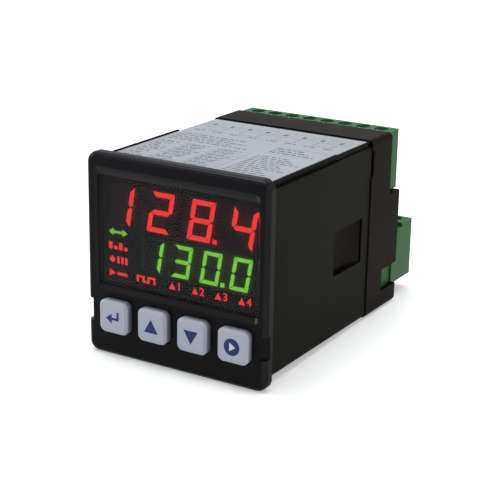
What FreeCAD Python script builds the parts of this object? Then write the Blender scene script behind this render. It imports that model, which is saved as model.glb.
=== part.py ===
import FreeCAD, Part
import Sketcher
import math
import os

from FreeCAD import Vector

# Panel temperature controller for a 45.5 mm square cut-out.
# Frame: origin at the centre of the bezel's rear face, where it meets the panel.
# +X is to the right as the operator sees it, +Y runs back into the panel, +Z is up.

doc = FreeCAD.newDocument("controller")
dims = doc.addObject("Spreadsheet::Sheet", "dims")

DIMENSIONS = [
    # bezel
    ("bezel_lip", 1.65), ("bezel_depth", 3.0), ("bezel_corner", 2.6), ("bezel_edge", 1.3),
    ("recess_rim_side", 2.0), ("recess_rim_top", 3.1), ("recess_height", 29.2),
    ("recess_depth", 0.9), ("bevel_side", 0.8), ("bevel_top", 2.0), ("bevel_bottom", 1.2),
    ("recess_corner", 1.4), ("lens_thick", 1.2), ("lens_gap", 0.1), ("lens_ledge", 0.35),
    ("notch_inset", 1.6), ("notch_depth", 2.0), ("notch_length", 5.4), ("notch_shift", 0.2),
    ("tongue_length", 4.8), ("tongue_width", 30.0), ("tongue_thick", 1.0), ("tongue_gap", 0.1),
    ("spacer_height", 1.2), ("barb_height", 0.6), ("skirt_depth", 1.0),
    ("rear_relief", 0.2),
    # keys
    ("key_size", 7.8), ("key_corner", 1.5), ("key_edge", 0.6), ("key_rise", 2.0),
    ("key_gap", 0.25), ("key_pitch", 10.7), ("key_shift", 0.5), ("key_below", 5.5),
    ("key_wall", 1.6), ("key_lip", 0.5), ("key_lip_thick", 0.6), ("key_play", 0.05),
    ("key_travel", 0.85), ("stem_radius", 2.1), ("cavity_half_height", 4.8),
    ("mat_thick", 0.8), ("mat_gap", 0.2), ("mat_half_height", 4.7), ("pad_thick", 0.1),
    # display
    ("digit_centre", 0.5), ("bar_thick", 0.1), ("bar_gap", 0.12), ("block_gap", 0.15),
    ("red_pitch", 10.73), ("red_width", 6.0), ("red_height", 9.4), ("red_bar", 1.1),
    ("red_drop", 1.85), ("green_pitch", 7.7), ("green_width", 4.7), ("green_height", 7.6),
    ("green_bar", 0.85), ("green_drop", 1.9), ("green_centre", 4.65), ("digit_slant", 10.0),
    ("digit_margin", 0.7), ("dot_size", 1.0), ("dot_gap", 0.5), ("light_height", 1.8),
    ("light_width", 5.6), ("light_lift", 0.1), ("light_left", -19.4), ("row_drop", 2.2),
    ("first_light", -11.7), ("small_light", 3.7), ("small_start", -2.7), ("small_pitch", 6.1),
    ("light_margin", 0.45),
    ("board_front", 2.4), ("board_thick", 1.4), ("board_gap", 0.3),
    # housing
    ("seal_thick", 0.8), ("seal_inset", 0.6), ("sleeve_length", 47.2), ("sleeve_wall", 1.3),
    ("sleeve_corner", 1.0), ("sleeve_chamfer", 0.4), ("rebate_width", 0.5), ("rebate_height", 1.2),
    ("rail_rise", 0.38), ("rail_height", 1.0), ("rail_start", 2.4), ("rail_length", 28.6),
    ("rail_ramp", 3.0),
    ("window_margin", 3.6), ("window_length", 14.1), ("window_height", 11.0),
    ("window_drop", 1.3), ("guide_reach", 1.5), ("guide_height", 1.0), ("guide_start", 9.0),
    ("guide_length", 19.0), ("guide_gap", 0.05), ("label_thick", 0.2), ("label_sink", 0.15),
    ("label_border", 0.9), ("label_margin", 1.1),
    ("cover_step", 0.3), ("cover_wall", 1.2), ("cover_corner", 1.3), ("cover_depth", 16.4),
    ("cover_rear_wall", 1.5), ("cover_top_cut", 5.6),
    ("sill_gap", 0.3), ("slot_width", 0.8), ("slot_drop", 2.35), ("slot_height", 6.4),
    ("side_notch_rise", 1.55), ("side_notch_height", 5.6), ("side_notch_depth", 8.1),
    ("arm_thick", 1.1), ("arm_gap", 0.1), ("arm_reach", 18.7), ("arm_height", 10.8),
    ("catch_length", 6.0), ("catch_rise", 1.0), ("arm_root", 3.6), ("catch_play", 0.05),
    # terminals
    ("poles", 8), ("pole_pitch", 5.08), ("plug_end", 1.0), ("plug_height", 15.0),
    ("plug_block", 11.3), ("plug_mating", 7.2), ("mating_height", 8.2), ("mating_lift", 0.4),
    ("mating_inset", 1.6), ("tower_depth", 5.8), ("tower_step", 1.0),
    ("upper_plug_drop", 0.35), ("upper_plug_proud", 0.4), ("plug_side_gap", 0.13),
    ("plug_seat", 0.1), ("screw_inset", 2.6), ("screw_bore", 1.85), ("screw_head", 1.65),
    ("screw_sink", 1.0), ("head_thick", 1.4), ("shank_radius", 1.15), ("slot_size", 0.7),
    ("chamber_width", 3.8), ("chamber_depth", 6.2), ("chamber_height", 6.2),
    ("chamber_floor", 1.8), ("entry_wall", 0.8), ("entry_width", 3.4), ("entry_height", 3.6),
    ("clamp_gap", 0.15), ("clamp_wall", 0.5), ("clamp_length", 5.0), ("clamp_height", 5.4),
    ("pin_size", 1.0),
    ("pin_channel", 1.6), ("pin_reach", 6.0), ("header_gap", 0.15),
    ("header_wall", 1.0), ("header_front", 1.2),
    # boards and what stands on them
    ("board_start", 8.6), ("board_tail", 1.3),
    ("link_pitch", 2.54), ("link_count", 7), ("link_pin", 0.64), ("link_height", 2.5),
    ("link_depth", 4.0), ("link_reach", 2.8), ("link_leg", 10.4), ("core_width", 16.0),
    ("core_depth", 13.0), ("core_height", 12.0), ("core_leg", 4.0), ("core_y", 13.0),
    ("core_x", -18.5), ("coil_wrap", 3.0), ("can_radius", 4.0), ("can_height", 12.0),
    ("can_x", 4.5), ("can_y", 17.0), ("can_pitch", 9.5), ("relay_width", 15.0),
    ("relay_gap", 1.5), ("relay_height", 12.5), ("relay_x", -16.5), ("relay_space", 2.65),
    ("relay_pitch", 17.5), ("chip_size", 8.0), ("chip_thick", 1.1), ("chip_y", 20.0),
    ("small_chip", 5.0), ("small_chip_thick", 1.5), ("small_chip_pitch", 9.0),
    ("small_chip_x", -14.0), ("small_chip_y", 36.0), ("quartz_length", 10.0),
    ("quartz_width", 4.4), ("quartz_height", 3.4), ("quartz_x", 8.0), ("quartz_y", 22.0),
    ("driver_size", 8.0), ("driver_low", -10.0),
]

for row, (alias, number) in enumerate(DIMENSIONS, start=1):
    dims.set("A%d" % row, alias)
    dims.set("B%d" % row, str(number))
    dims.setAlias("B%d" % row, alias)
guess = doc.addObject("Spreadsheet::Sheet", "guess")
doc.recompute()


def size(alias):
    """The number that a cell of the sheet holds."""
    return float(dims.get(alias))


def cells(text):
    """Turns @name in a formula into the sheet's cell of that name."""
    return text.replace("@", "dims.")


def numeric(text):
    """The value of a formula now, used only as a first guess for a sketch."""
    guess.set("A1", "=" + cells(text))
    guess.recompute()
    return float(guess.get("A1"))


def bind(thing, prop, text):
    thing.setExpression(prop, cells(text))


# ---------------------------------------------------------------- building blocks

def new_body(label):
    body = doc.addObject("PartDesign::Body", label)
    body.Label = label
    return body


def new_sketch(body, name, plane, level="0"):
    """A sketch on one of the body's own planes, moved to the given coordinate."""
    sketch = body.newObject("Sketcher::SketchObject", name)
    for feature in body.Origin.OriginFeatures:
        if feature.Role == plane:
            sketch.AttachmentSupport = [(feature, "")]
    sketch.MapMode = "FlatFace"
    sign = "-" if plane == "XZ_Plane" else ""
    bind(sketch, "AttachmentOffset.Base.z", "%s(%s)" % (sign, level))
    return sketch


def hold(sketch, kind, geo, point, text):
    """Ties one coordinate of a point to a formula."""
    index = sketch.addConstraint(Sketcher.Constraint(kind, -1, 1, geo, point, numeric(text)))
    bind(sketch, "Constraints[%d]" % index, text)


def polygon(sketch, points):
    """A closed outline of straight edges; each point is a pair of formulas."""
    start = [Vector(numeric(u), numeric(v), 0) for u, v in points]
    first = sketch.GeometryCount
    count = len(points)
    for i in range(count):
        sketch.addGeometry(Part.LineSegment(start[i], start[(i + 1) % count]), False)
    for i in range(count):
        follower = first + (i + 1) % count
        sketch.addConstraint(Sketcher.Constraint("Coincident", first + i, 2, follower, 1))
    for i, (u, v) in enumerate(points):
        hold(sketch, "DistanceX", first + i, 1, u)
        hold(sketch, "DistanceY", first + i, 1, v)


def rectangle(sketch, left, right, low, high):
    polygon(sketch, [(left, low), (right, low), (right, high), (left, high)])


def rounded_rectangle(sketch, left, right, low, high, radius):
    """A rectangle with four equal round corners, held by its sides and one radius."""
    x0, x1, y0, y1 = numeric(left), numeric(right), numeric(low), numeric(high)
    r = numeric(radius)
    first = sketch.GeometryCount
    corners = [(x1 - r, y0 + r, -90), (x1 - r, y1 - r, 0), (x0 + r, y1 - r, 90),
               (x0 + r, y0 + r, 180)]
    lines = [((x0 + r, y0), (x1 - r, y0)), ((x1, y0 + r), (x1, y1 - r)),
             ((x1 - r, y1), (x0 + r, y1)), ((x0, y1 - r), (x0, y0 + r))]
    for (start, end), (cx, cy, turn) in zip(lines, corners):
        sketch.addGeometry(Part.LineSegment(Vector(*start, 0), Vector(*end, 0)), False)
        circle = Part.Circle(Vector(cx, cy, 0), Vector(0, 0, 1), r)
        turn = math.radians(turn)
        sketch.addGeometry(Part.ArcOfCircle(circle, turn, turn + math.pi / 2), False)
    for i in range(4):
        line = first + 2 * i
        arc = line + 1
        follower = first + (2 * i + 2) % 8
        sketch.addConstraint(Sketcher.Constraint("Tangent", line, 2, arc, 1))
        sketch.addConstraint(Sketcher.Constraint("Tangent", arc, 2, follower, 1))
        level = "Horizontal" if i % 2 == 0 else "Vertical"
        sketch.addConstraint(Sketcher.Constraint(level, line))
        if i:
            sketch.addConstraint(Sketcher.Constraint("Equal", first + 1, arc))
    index = sketch.addConstraint(Sketcher.Constraint("Radius", first + 1, r))
    bind(sketch, "Constraints[%d]" % index, radius)
    hold(sketch, "DistanceY", first, 1, low)
    hold(sketch, "DistanceX", first + 2, 1, right)
    hold(sketch, "DistanceY", first + 4, 1, high)
    hold(sketch, "DistanceX", first + 6, 1, left)


def many_sided(sketch, x, y, radius, sides):
    """A regular outline for small round parts that repeat, kept to few faces."""
    turns = [2 * math.pi * (i + 0.5) / sides for i in range(sides)]
    polygon(sketch, [("%s + %.6f * %s" % (x, math.cos(turn), radius),
                      "%s + %.6f * %s" % (y, math.sin(turn), radius)) for turn in turns])


def extrude(body, kind, name, sketch, length, forward=True):
    """A Pad or a Pocket; forward goes along +X, +Y or +Z, whichever the plane faces."""
    feature = body.newObject("PartDesign::" + kind, name)
    feature.Profile = sketch
    bind(feature, "Length", length)
    along_normal = forward != ("XZ" in sketch.AttachmentSupport[0][0].Role)
    feature.Reversed = along_normal if kind == "Pocket" else not along_normal
    body.Tip = feature
    doc.recompute()
    return feature


def pad(body, name, sketch, length, forward=True):
    return extrude(body, "Pad", name, sketch, length, forward)


def pocket(body, name, sketch, length, forward=True):
    before = body.Shape.Volume
    feature = extrude(body, "Pocket", name, sketch, length, forward)
    if body.Shape.Volume > before - 1e-6:
        raise RuntimeError("pocket %s cuts nothing" % name)
    return feature


def repeat(body, name, features, sketch, pitch, count):
    """Copies features along the sketch's own X, one pitch apart."""
    pattern = body.newObject("PartDesign::LinearPattern", name)
    pattern.Originals = features
    pattern.Direction = (sketch, ["H_Axis"])
    bind(pattern, "Length", "(%s) * ((%s) - 1)" % (pitch, count))
    bind(pattern, "Occurrences", count)
    body.Tip = pattern
    doc.recompute()
    return pattern


def both_sides(body, name, features):
    """Mirrors features across the middle plane X = 0."""
    mirror = body.newObject("PartDesign::Mirrored", name)
    mirror.Originals = features
    for feature in body.Origin.OriginFeatures:
        if feature.Role == "YZ_Plane":
            mirror.MirrorPlane = (feature, [""])
    body.Tip = mirror
    doc.recompute()
    return mirror


def edges_where(shape, test):
    return ["Edge%d" % (i + 1) for i, edge in enumerate(shape.Edges) if test(edge)]


def dress_edges(body, kind, name, length, test):
    """Rounds or chamfers the edges of the body that pass the test."""
    base = body.Tip
    feature = body.newObject("PartDesign::" + kind, name)
    feature.Base = (base, edges_where(base.Shape, test))
    bind(feature, "Radius" if kind == "Fillet" else "Size", length)
    body.Tip = feature
    doc.recompute()
    return feature


def lies_at_y(level):
    """Picks edges that lie wholly in the plane at that Y."""
    return lambda edge: abs(edge.BoundBox.YMin - level) + abs(edge.BoundBox.YMax - level) < 1e-4


def box(name, x, y, z):
    """A plain block between pairs of formulas."""
    block = doc.addObject("Part::Box", name)
    for side, prop, (low, high) in zip("xyz", ("Length", "Width", "Height"), (x, y, z)):
        bind(block, prop, "(%s) - (%s)" % (high, low))
        bind(block, "Placement.Base.%s" % side, low)
    return block


def combine(kind, label, base, tools):
    """Cuts tools from a base, or fuses them to it."""
    if kind == "Cut":
        tool = tools[0]
        if len(tools) > 1:
            tool = doc.addObject("Part::MultiFuse", label + "_tools")
            tool.Shapes = tools
        result = doc.addObject("Part::Cut", label)
        result.Base = base
        result.Tool = tool
    else:
        result = doc.addObject("Part::MultiFuse", label)
        result.Shapes = [base] + tools
    result.Label = label
    return result


pieces = []

# Formulas that several pieces share. The terminals set the width of the plugs, the plugs
# set the rear cover and the sleeve, and the sleeve sets the bezel.
PLUG_HALF = "(@pole_pitch * @poles / 2 + @plug_end)"
MATING_HALF = "(%s - @mating_inset)" % PLUG_HALF
FIRST_POLE = "(-@pole_pitch * (@poles - 1) / 2)"
COVER_INSIDE = "(%s + @plug_side_gap)" % PLUG_HALF
COVER_HALF = "(%s + @cover_wall)" % COVER_INSIDE
SLEEVE_HALF = "(%s - @cover_step)" % COVER_HALF
SLEEVE_INSIDE = "(%s - @sleeve_wall)" % SLEEVE_HALF
BEZEL_HALF = "(%s + @bezel_lip)" % SLEEVE_HALF
SEAL_HALF = "(%s - @seal_inset)" % BEZEL_HALF

SLEEVE_START = "@skirt_depth"
SLEEVE_END = "(@skirt_depth + @sleeve_length)"
COVER_END = "(%s + @cover_depth)" % SLEEVE_END

RECESS_HALF = "(%s - @recess_rim_side)" % BEZEL_HALF
RECESS_TOP = "(%s - @recess_rim_top)" % BEZEL_HALF
RECESS_LOW = "(%s - @recess_height)" % RECESS_TOP
FLOOR_HALF = "(%s - @bevel_side)" % RECESS_HALF
FLOOR_TOP = "(%s - @bevel_top)" % RECESS_TOP
FLOOR_LOW = "(%s + @bevel_bottom)" % RECESS_LOW
FLOOR_LEVEL = "-(@bezel_depth - @recess_depth)"
LENS_BACK = "-(@bezel_depth - @recess_depth - @lens_thick)"
OPEN_HALF = "(%s - @lens_ledge)" % FLOOR_HALF
OPEN_TOP = "(%s - @lens_ledge)" % FLOOR_TOP
OPEN_LOW = "(%s + @lens_ledge)" % FLOOR_LOW

KEY_BACK = "-(@bezel_depth - @key_wall)"
KEY_LEVEL = "(%s - @key_below)" % RECESS_LOW
FIRST_KEY = "(@key_shift - 1.5 * @key_pitch)"
BOARD_BACK = "(@board_front + @board_thick)"
BOARD_HALF = "(%s - @board_gap)" % SLEEVE_INSIDE

RED_BASE = "(%s - @red_drop - @red_height)" % OPEN_TOP
GREEN_TOP = "(%s - @green_drop)" % RED_BASE
GREEN_BASE = "(%s - @green_height)" % GREEN_TOP
LIGHT_ROW = "(%s - @row_drop)" % GREEN_BASE
LIGHT_TOP = "(%s + @light_lift)" % GREEN_TOP

UPPER_TOP = "(%s - @upper_plug_drop)" % COVER_HALF
UPPER_LOW = "(%s - @plug_height)" % UPPER_TOP
UPPER_REAR = "(%s + @upper_plug_proud)" % COVER_END
UPPER_BOARD_TOP = "(%s + @mating_lift - @header_gap - @header_wall)" % UPPER_LOW
LOWER_BOARD_TOP = "(@board_gap + @board_thick - %s)" % SLEEVE_INSIDE
LOWER_LOW = "(%s + @header_wall + @header_gap - @mating_lift)" % LOWER_BOARD_TOP
LOWER_TOP = "(%s + @plug_height)" % LOWER_LOW
LOWER_REAR = "(%s + @plug_seat + @plug_block)" % COVER_END


# ---------------------------------------------------------------- front_bezel
# One black moulding: a thin square frame with a bevelled recess for the lens, four key
# openings, a scooped notch in each side, and two tongues that enter the sleeve.

bezel = new_body("front_bezel")
outline = new_sketch(bezel, "bezel_outline", "XZ_Plane", "-@bezel_depth")
rounded_rectangle(outline, "-" + BEZEL_HALF, BEZEL_HALF, "-" + BEZEL_HALF, BEZEL_HALF,
                  "@bezel_corner")
pad(bezel, "bezel_plate", outline, "@bezel_depth")
dress_edges(bezel, "Fillet", "bezel_front_edge", "@bezel_edge",
            lies_at_y(-size("bezel_depth")))

bevel_outer = new_sketch(bezel, "bevel_outer", "XZ_Plane", "-@bezel_depth")
rounded_rectangle(bevel_outer, "-" + RECESS_HALF, RECESS_HALF, RECESS_LOW, RECESS_TOP,
                  "@recess_corner")
bevel_inner = new_sketch(bezel, "bevel_inner", "XZ_Plane", FLOOR_LEVEL)
rounded_rectangle(bevel_inner, "-" + FLOOR_HALF, FLOOR_HALF, FLOOR_LOW, FLOOR_TOP,
                  "@recess_corner / 2")
doc.recompute()
bevel = bezel.newObject("PartDesign::SubtractiveLoft", "window_bevel")
bevel.Profile = bevel_outer
bevel.Sections = [bevel_inner]
bevel.Ruled = True
bezel.Tip = bevel
doc.recompute()

lens_pocket = new_sketch(bezel, "lens_pocket_outline", "XZ_Plane", FLOOR_LEVEL)
rounded_rectangle(lens_pocket, "-" + FLOOR_HALF, FLOOR_HALF, FLOOR_LOW, FLOOR_TOP,
                  "@recess_corner / 2")
pocket(bezel, "lens_pocket", lens_pocket, "@lens_thick")
opening = new_sketch(bezel, "opening_outline", "XZ_Plane", LENS_BACK)
rectangle(opening, "-" + OPEN_HALF, OPEN_HALF, OPEN_LOW, OPEN_TOP)
pocket(bezel, "display_opening", opening, "@bezel_depth")

cavity = new_sketch(bezel, "key_cavity_outline", "XZ_Plane", KEY_BACK)
CAVITY_SIDE = "(@key_size / 2 + @key_lip + @key_gap)"
rectangle(cavity, FIRST_KEY + " - " + CAVITY_SIDE, FIRST_KEY + " + 3 * @key_pitch + " + CAVITY_SIDE,
          KEY_LEVEL + " - @cavity_half_height", KEY_LEVEL + " + @cavity_half_height")
pocket(bezel, "key_cavity", cavity, "@bezel_depth")
key_hole = new_sketch(bezel, "key_hole_outline", "XZ_Plane", "-@bezel_depth")
HOLE = "(@key_size / 2 + @key_gap)"
rounded_rectangle(key_hole, FIRST_KEY + "-" + HOLE, FIRST_KEY + "+" + HOLE,
                  KEY_LEVEL + " - " + HOLE, KEY_LEVEL + " + " + HOLE, "@key_corner + @key_gap")
first_hole = pocket(bezel, "key_hole", key_hole, "@bezel_depth")
repeat(bezel, "key_holes", [first_hole], key_hole, "@key_pitch", "4")

notch = new_sketch(bezel, "notch_outline", "XY_Plane", KEY_LEVEL + " + @notch_shift - @notch_length / 2")
polygon(notch, [(BEZEL_HALF + " - @notch_inset", "-@bezel_depth"), (BEZEL_HALF, "-@bezel_depth"),
                (BEZEL_HALF, "@notch_depth - @bezel_depth")])
right_notch = pocket(bezel, "right_notch", notch, "@notch_length")
both_sides(bezel, "side_notches", [right_notch])

groove = new_sketch(bezel, "seal_groove_outline", "XZ_Plane", "-@seal_thick")
rounded_rectangle(groove, "-" + SEAL_HALF, SEAL_HALF, "-" + SEAL_HALF, SEAL_HALF,
                  "@bezel_corner - @seal_inset")
rounded_rectangle(groove, "-" + SLEEVE_HALF, SLEEVE_HALF, "-" + SLEEVE_HALF, SLEEVE_HALF,
                  "@sleeve_corner")
pocket(bezel, "seal_groove", groove, "@seal_thick")
relief = new_sketch(bezel, "rear_relief_outline", "XZ_Plane", "-@rear_relief")
rectangle(relief, "-" + SLEEVE_INSIDE, SLEEVE_INSIDE, "-" + SLEEVE_INSIDE, SLEEVE_INSIDE)
pocket(bezel, "rear_relief", relief, "@rear_relief")
skirt = new_sketch(bezel, "skirt_outline", "XZ_Plane", "0")
rounded_rectangle(skirt, "-" + SLEEVE_HALF, SLEEVE_HALF, "-" + SLEEVE_HALF, SLEEVE_HALF,
                  "@sleeve_corner")
rectangle(skirt, "-" + SLEEVE_INSIDE, SLEEVE_INSIDE, "-" + SLEEVE_INSIDE, SLEEVE_INSIDE)
pad(bezel, "skirt", skirt, "@skirt_depth")


def mirrored_block(body, name, level, near, far, length):
    """The same bar along the top and along the bottom, near and far measured from Z = 0."""
    bars = new_sketch(body, name + "_outline", "XZ_Plane", level)
    rectangle(bars, "-@tongue_width / 2", "@tongue_width / 2", near, far)
    rectangle(bars, "-@tongue_width / 2", "@tongue_width / 2", "-(%s)" % far, "-(%s)" % near)
    pad(body, name, bars, length)


TONGUE_FAR = "(%s - @tongue_gap)" % SLEEVE_INSIDE
TONGUE_NEAR = "(%s - @tongue_gap - @tongue_thick)" % SLEEVE_INSIDE
mirrored_block(bezel, "tongues", "-@rear_relief", TONGUE_NEAR, TONGUE_FAR,
               "@tongue_length + @rear_relief")
mirrored_block(bezel, "spacers", "-@rear_relief", TONGUE_NEAR + " - @spacer_height",
               TONGUE_NEAR, "@board_front + @rear_relief")
mirrored_block(bezel, "barbs", BOARD_BACK, TONGUE_NEAR + " - @barb_height", TONGUE_NEAR,
               "@tongue_length - " + BOARD_BACK)
pieces.append(bezel)


# ---------------------------------------------------------------- panel_gasket
# Rubber ring that fills the groove in the bezel's rear face, flush with it.

gasket = new_body("panel_gasket")
ring = new_sketch(gasket, "ring_outline", "XZ_Plane", "-@seal_thick")
rounded_rectangle(ring, "-" + SEAL_HALF, SEAL_HALF, "-" + SEAL_HALF, SEAL_HALF,
                  "@bezel_corner - @seal_inset")
rounded_rectangle(ring, "-" + SLEEVE_HALF, SLEEVE_HALF, "-" + SLEEVE_HALF, SLEEVE_HALF,
                  "@sleeve_corner")
pad(gasket, "ring", ring, "@seal_thick")
pieces.append(gasket)


# ---------------------------------------------------------------- display_window
# Smoked acrylic lens, bonded into the recess from the front.

window = new_body("display_window")
lens = new_sketch(window, "lens_outline", "XZ_Plane", FLOOR_LEVEL)
rounded_rectangle(lens, "@lens_gap - " + FLOOR_HALF, FLOOR_HALF + " - @lens_gap",
                  FLOOR_LOW + " + @lens_gap", FLOOR_TOP + " - @lens_gap",
                  "@recess_corner / 2")
pad(window, "lens", lens, "@lens_thick")
pieces.append(window)


# ---------------------------------------------------------------- keys
# Four silicone caps: a rounded square head through the bezel, a lip behind it that stops
# the head from coming out, and a stem that reaches for the contact on the board.

STEM_END = "(@board_front - @pad_thick - @key_travel - @key_play)"
KEY_FRONT = "-(@bezel_depth + @key_rise)"
LIP_FRONT = "(%s + @key_play)" % KEY_BACK

for place, label in enumerate(("key_enter", "key_up", "key_down", "key_run")):
    centre = "(%s + %d * @key_pitch)" % (FIRST_KEY, place)
    key = new_body(label)
    head = new_sketch(key, label + "_head_outline", "XZ_Plane", KEY_FRONT)
    rounded_rectangle(head, centre + " - @key_size / 2", centre + " + @key_size / 2",
                      KEY_LEVEL + " - @key_size / 2", KEY_LEVEL + " + @key_size / 2",
                      "@key_corner")
    pad(key, label + "_head", head, "%s - (%s)" % (LIP_FRONT, KEY_FRONT))
    dress_edges(key, "Chamfer", label + "_edge", "@key_edge", lies_at_y(numeric(KEY_FRONT)))
    lip = new_sketch(key, label + "_lip_outline", "XZ_Plane", LIP_FRONT)
    reach = "(@key_size / 2 + @key_lip)"
    rectangle(lip, centre + " - " + reach, centre + " + " + reach,
              KEY_LEVEL + " - " + reach, KEY_LEVEL + " + " + reach)
    pad(key, label + "_lip", lip, "@key_lip_thick")
    stem = new_sketch(key, label + "_stem_outline", "XZ_Plane",
                      LIP_FRONT + " + @key_lip_thick")
    many_sided(stem, centre, KEY_LEVEL, "@stem_radius", 12)
    pad(key, label + "_stem", stem, "%s - (%s + @key_lip_thick)" % (STEM_END, LIP_FRONT))
    pieces.append(key)


# ---------------------------------------------------------------- keypad_mat, key_contacts
# The mat is the silicone sheet that lies on the board; each stem reaches through it to a
# pair of gold pads.

mat = new_body("keypad_mat")
mat_outline = new_sketch(mat, "mat_outline", "XZ_Plane", "@board_front - @mat_thick")
rounded_rectangle(mat_outline, "-(%s - @board_gap)" % BOARD_HALF, BOARD_HALF + " - @board_gap",
                  KEY_LEVEL + " - @mat_half_height", KEY_LEVEL + " + @mat_half_height", "1")
pad(mat, "mat_sheet", mat_outline, "@mat_thick")
mat_hole = new_sketch(mat, "mat_hole_outline", "XZ_Plane", "@board_front - @mat_thick")
many_sided(mat_hole, FIRST_KEY, KEY_LEVEL, "(@stem_radius * sqrt(2) + @mat_gap)", 12)
first_mat_hole = pocket(mat, "mat_hole", mat_hole, "@mat_thick")
repeat(mat, "mat_holes", [first_mat_hole], mat_hole, "@key_pitch", "4")
pieces.append(mat)

contacts = new_body("key_contacts")
for name, side in (("left", "-"), ("right", "+")):
    half_pad = new_sketch(contacts, name + "_pad_outline", "XZ_Plane",
                          "@board_front - @pad_thick")
    near = FIRST_KEY + side + "@stem_radius / 12"
    far = FIRST_KEY + side + "@stem_radius"
    left, right = (far, near) if name == "left" else (near, far)
    rectangle(half_pad, left, right, KEY_LEVEL + " - @stem_radius", KEY_LEVEL + " + @stem_radius")
    pad_feature = pad(contacts, name + "_pad", half_pad, "@pad_thick")
    if name == "left":
        left_pad = pad_feature
repeat(contacts, "key_pads", [left_pad, pad_feature], half_pad, "@key_pitch", "4")
pieces.append(contacts)


# ---------------------------------------------------------------- display_board
# Upright board behind the bezel; it carries the digits, the lights and the key contacts.

display_board = new_body("display_board")
board_outline = new_sketch(display_board, "display_board_outline", "XZ_Plane", "@board_front")
BOARD_TOP = "(%s - @board_gap)" % TONGUE_NEAR
rectangle(board_outline, "-" + BOARD_HALF, BOARD_HALF, "-" + BOARD_TOP, BOARD_TOP)
pad(display_board, "display_board_plate", board_outline, "@board_thick")
pieces.append(display_board)


# ---------------------------------------------------------------- digits
# Each display is a black block with slanted seven-bar digits; the bars are separate
# light-guide pieces that stand a little proud of the block, close behind the lens.

BAR_FRONT = "(%s + @block_gap)" % LENS_BACK
BLOCK_FRONT = "(%s + @bar_thick)" % BAR_FRONT


def add_digit(sketch, centre, base, width, height, bar):
    """Seven pointed bars and a dot, all leaning to the right by digit_slant."""
    half = "(%s - %s) / 2" % (width, bar)
    levels = ["%s / 2" % bar, "%s / 2" % height, "(%s - %s / 2)" % (height, bar)]

    def place(u, v):
        lean = "(%s - %s / 2) * tan(@digit_slant * 1 deg)" % (v, height)
        return ("%s + %s + %s" % (centre, u, lean), "%s + %s" % (base, v))

    for level in levels:
        left = "(@bar_gap - %s)" % half
        right = "(%s - @bar_gap)" % half
        inner = "%s / 2" % bar
        polygon(sketch, [place(left, level), place("(%s + %s)" % (left, inner),
                         "(%s - %s)" % (level, inner)),
                         place("(%s - %s)" % (right, inner), "(%s - %s)" % (level, inner)),
                         place(right, level),
                         place("(%s - %s)" % (right, inner), "(%s + %s)" % (level, inner)),
                         place("(%s + %s)" % (left, inner), "(%s + %s)" % (level, inner))])
    for side in ("-", ""):
        middle = "(%s%s)" % (side, half)
        inner = "%s / 2" % bar
        for low, high in zip(levels, levels[1:]):
            bottom = "(%s + @bar_gap)" % low
            top = "(%s - @bar_gap)" % high
            polygon(sketch, [place(middle, bottom),
                             place("(%s + %s)" % (middle, inner), "(%s + %s)" % (bottom, inner)),
                             place("(%s + %s)" % (middle, inner), "(%s - %s)" % (top, inner)),
                             place(middle, top),
                             place("(%s - %s)" % (middle, inner), "(%s - %s)" % (top, inner)),
                             place("(%s - %s)" % (middle, inner), "(%s + %s)" % (bottom, inner))])
    start = "%s + %s / 2 + @dot_gap - %s / 2 * tan(@digit_slant * 1 deg)" % (centre, width, height)
    rectangle(sketch, start, start + " + @dot_size", base, "%s + @dot_size" % base)


for colour, middle, base in (("red", "@digit_centre", RED_BASE),
                             ("green", "@green_centre", GREEN_BASE)):
    width, height, bar, pitch = ["@%s_%s" % (colour, word)
                                 for word in ("width", "height", "bar", "pitch")]
    first = "(%s - 1.5 * %s)" % (middle, pitch)
    reach = "(1.5 * %s + %s / 2 + @digit_margin)" % (pitch, width)
    block = new_body(colour + "_display_block")
    outline = new_sketch(block, colour + "_block_outline", "XZ_Plane", BLOCK_FRONT)
    rectangle(outline, "%s - %s" % (middle, reach), "%s + %s" % (middle, reach),
              "%s - @digit_margin" % base, "%s + %s + @digit_margin" % (base, height))
    pad(block, colour + "_block", outline, "@board_front - " + BLOCK_FRONT)
    pieces.append(block)
    bars = new_body(colour + "_digit_bars")
    shapes = new_sketch(bars, colour + "_bars_outline", "XZ_Plane", BAR_FRONT)
    add_digit(shapes, first, base, width, height, bar)
    first_bars = pad(bars, colour + "_bars", shapes, "@bar_thick")
    repeat(bars, colour + "_bar_row", [first_bars], shapes, pitch, "4")
    pieces.append(bars)


# ---------------------------------------------------------------- status lights
# An L-shaped black block beside and below the green digits: four lights in a column and
# five more in a row, each a small light guide.

LIGHT_PITCH = "(%s - %s) / 3" % (LIGHT_TOP, LIGHT_ROW)
ROW_TOP = "(%s - @digit_margin - @block_gap)" % GREEN_BASE
COLUMN_TOP = "(%s - @digit_margin - @block_gap)" % RED_BASE
LIGHT_LOW = "(%s - @light_height / 2 - @light_margin)" % LIGHT_ROW
LIGHT_LEFT = "(@light_left - @light_margin)"
COLUMN_RIGHT = "(@light_left + @light_width + @light_margin)"
ROW_RIGHT = "(@small_start + 3 * @small_pitch + @small_light + @light_margin)"


def add_lights(sketch):
    """The outlines of the nine small lights."""
    for i in range(4):
        level = "(%s - %d * %s)" % (LIGHT_TOP, i, LIGHT_PITCH)
        rectangle(sketch, "@light_left", "@light_left + @light_width",
                  level + " - @light_height / 2", level + " + @light_height / 2")
    low = LIGHT_ROW + " - @light_height / 2"
    high = LIGHT_ROW + " + @light_height / 2"
    rectangle(sketch, "@first_light", "@first_light + @light_width", low, high)
    for i in range(4):
        left = "(@small_start + %d * @small_pitch)" % i
        rectangle(sketch, left, left + " + @small_light", low, high)


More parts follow.
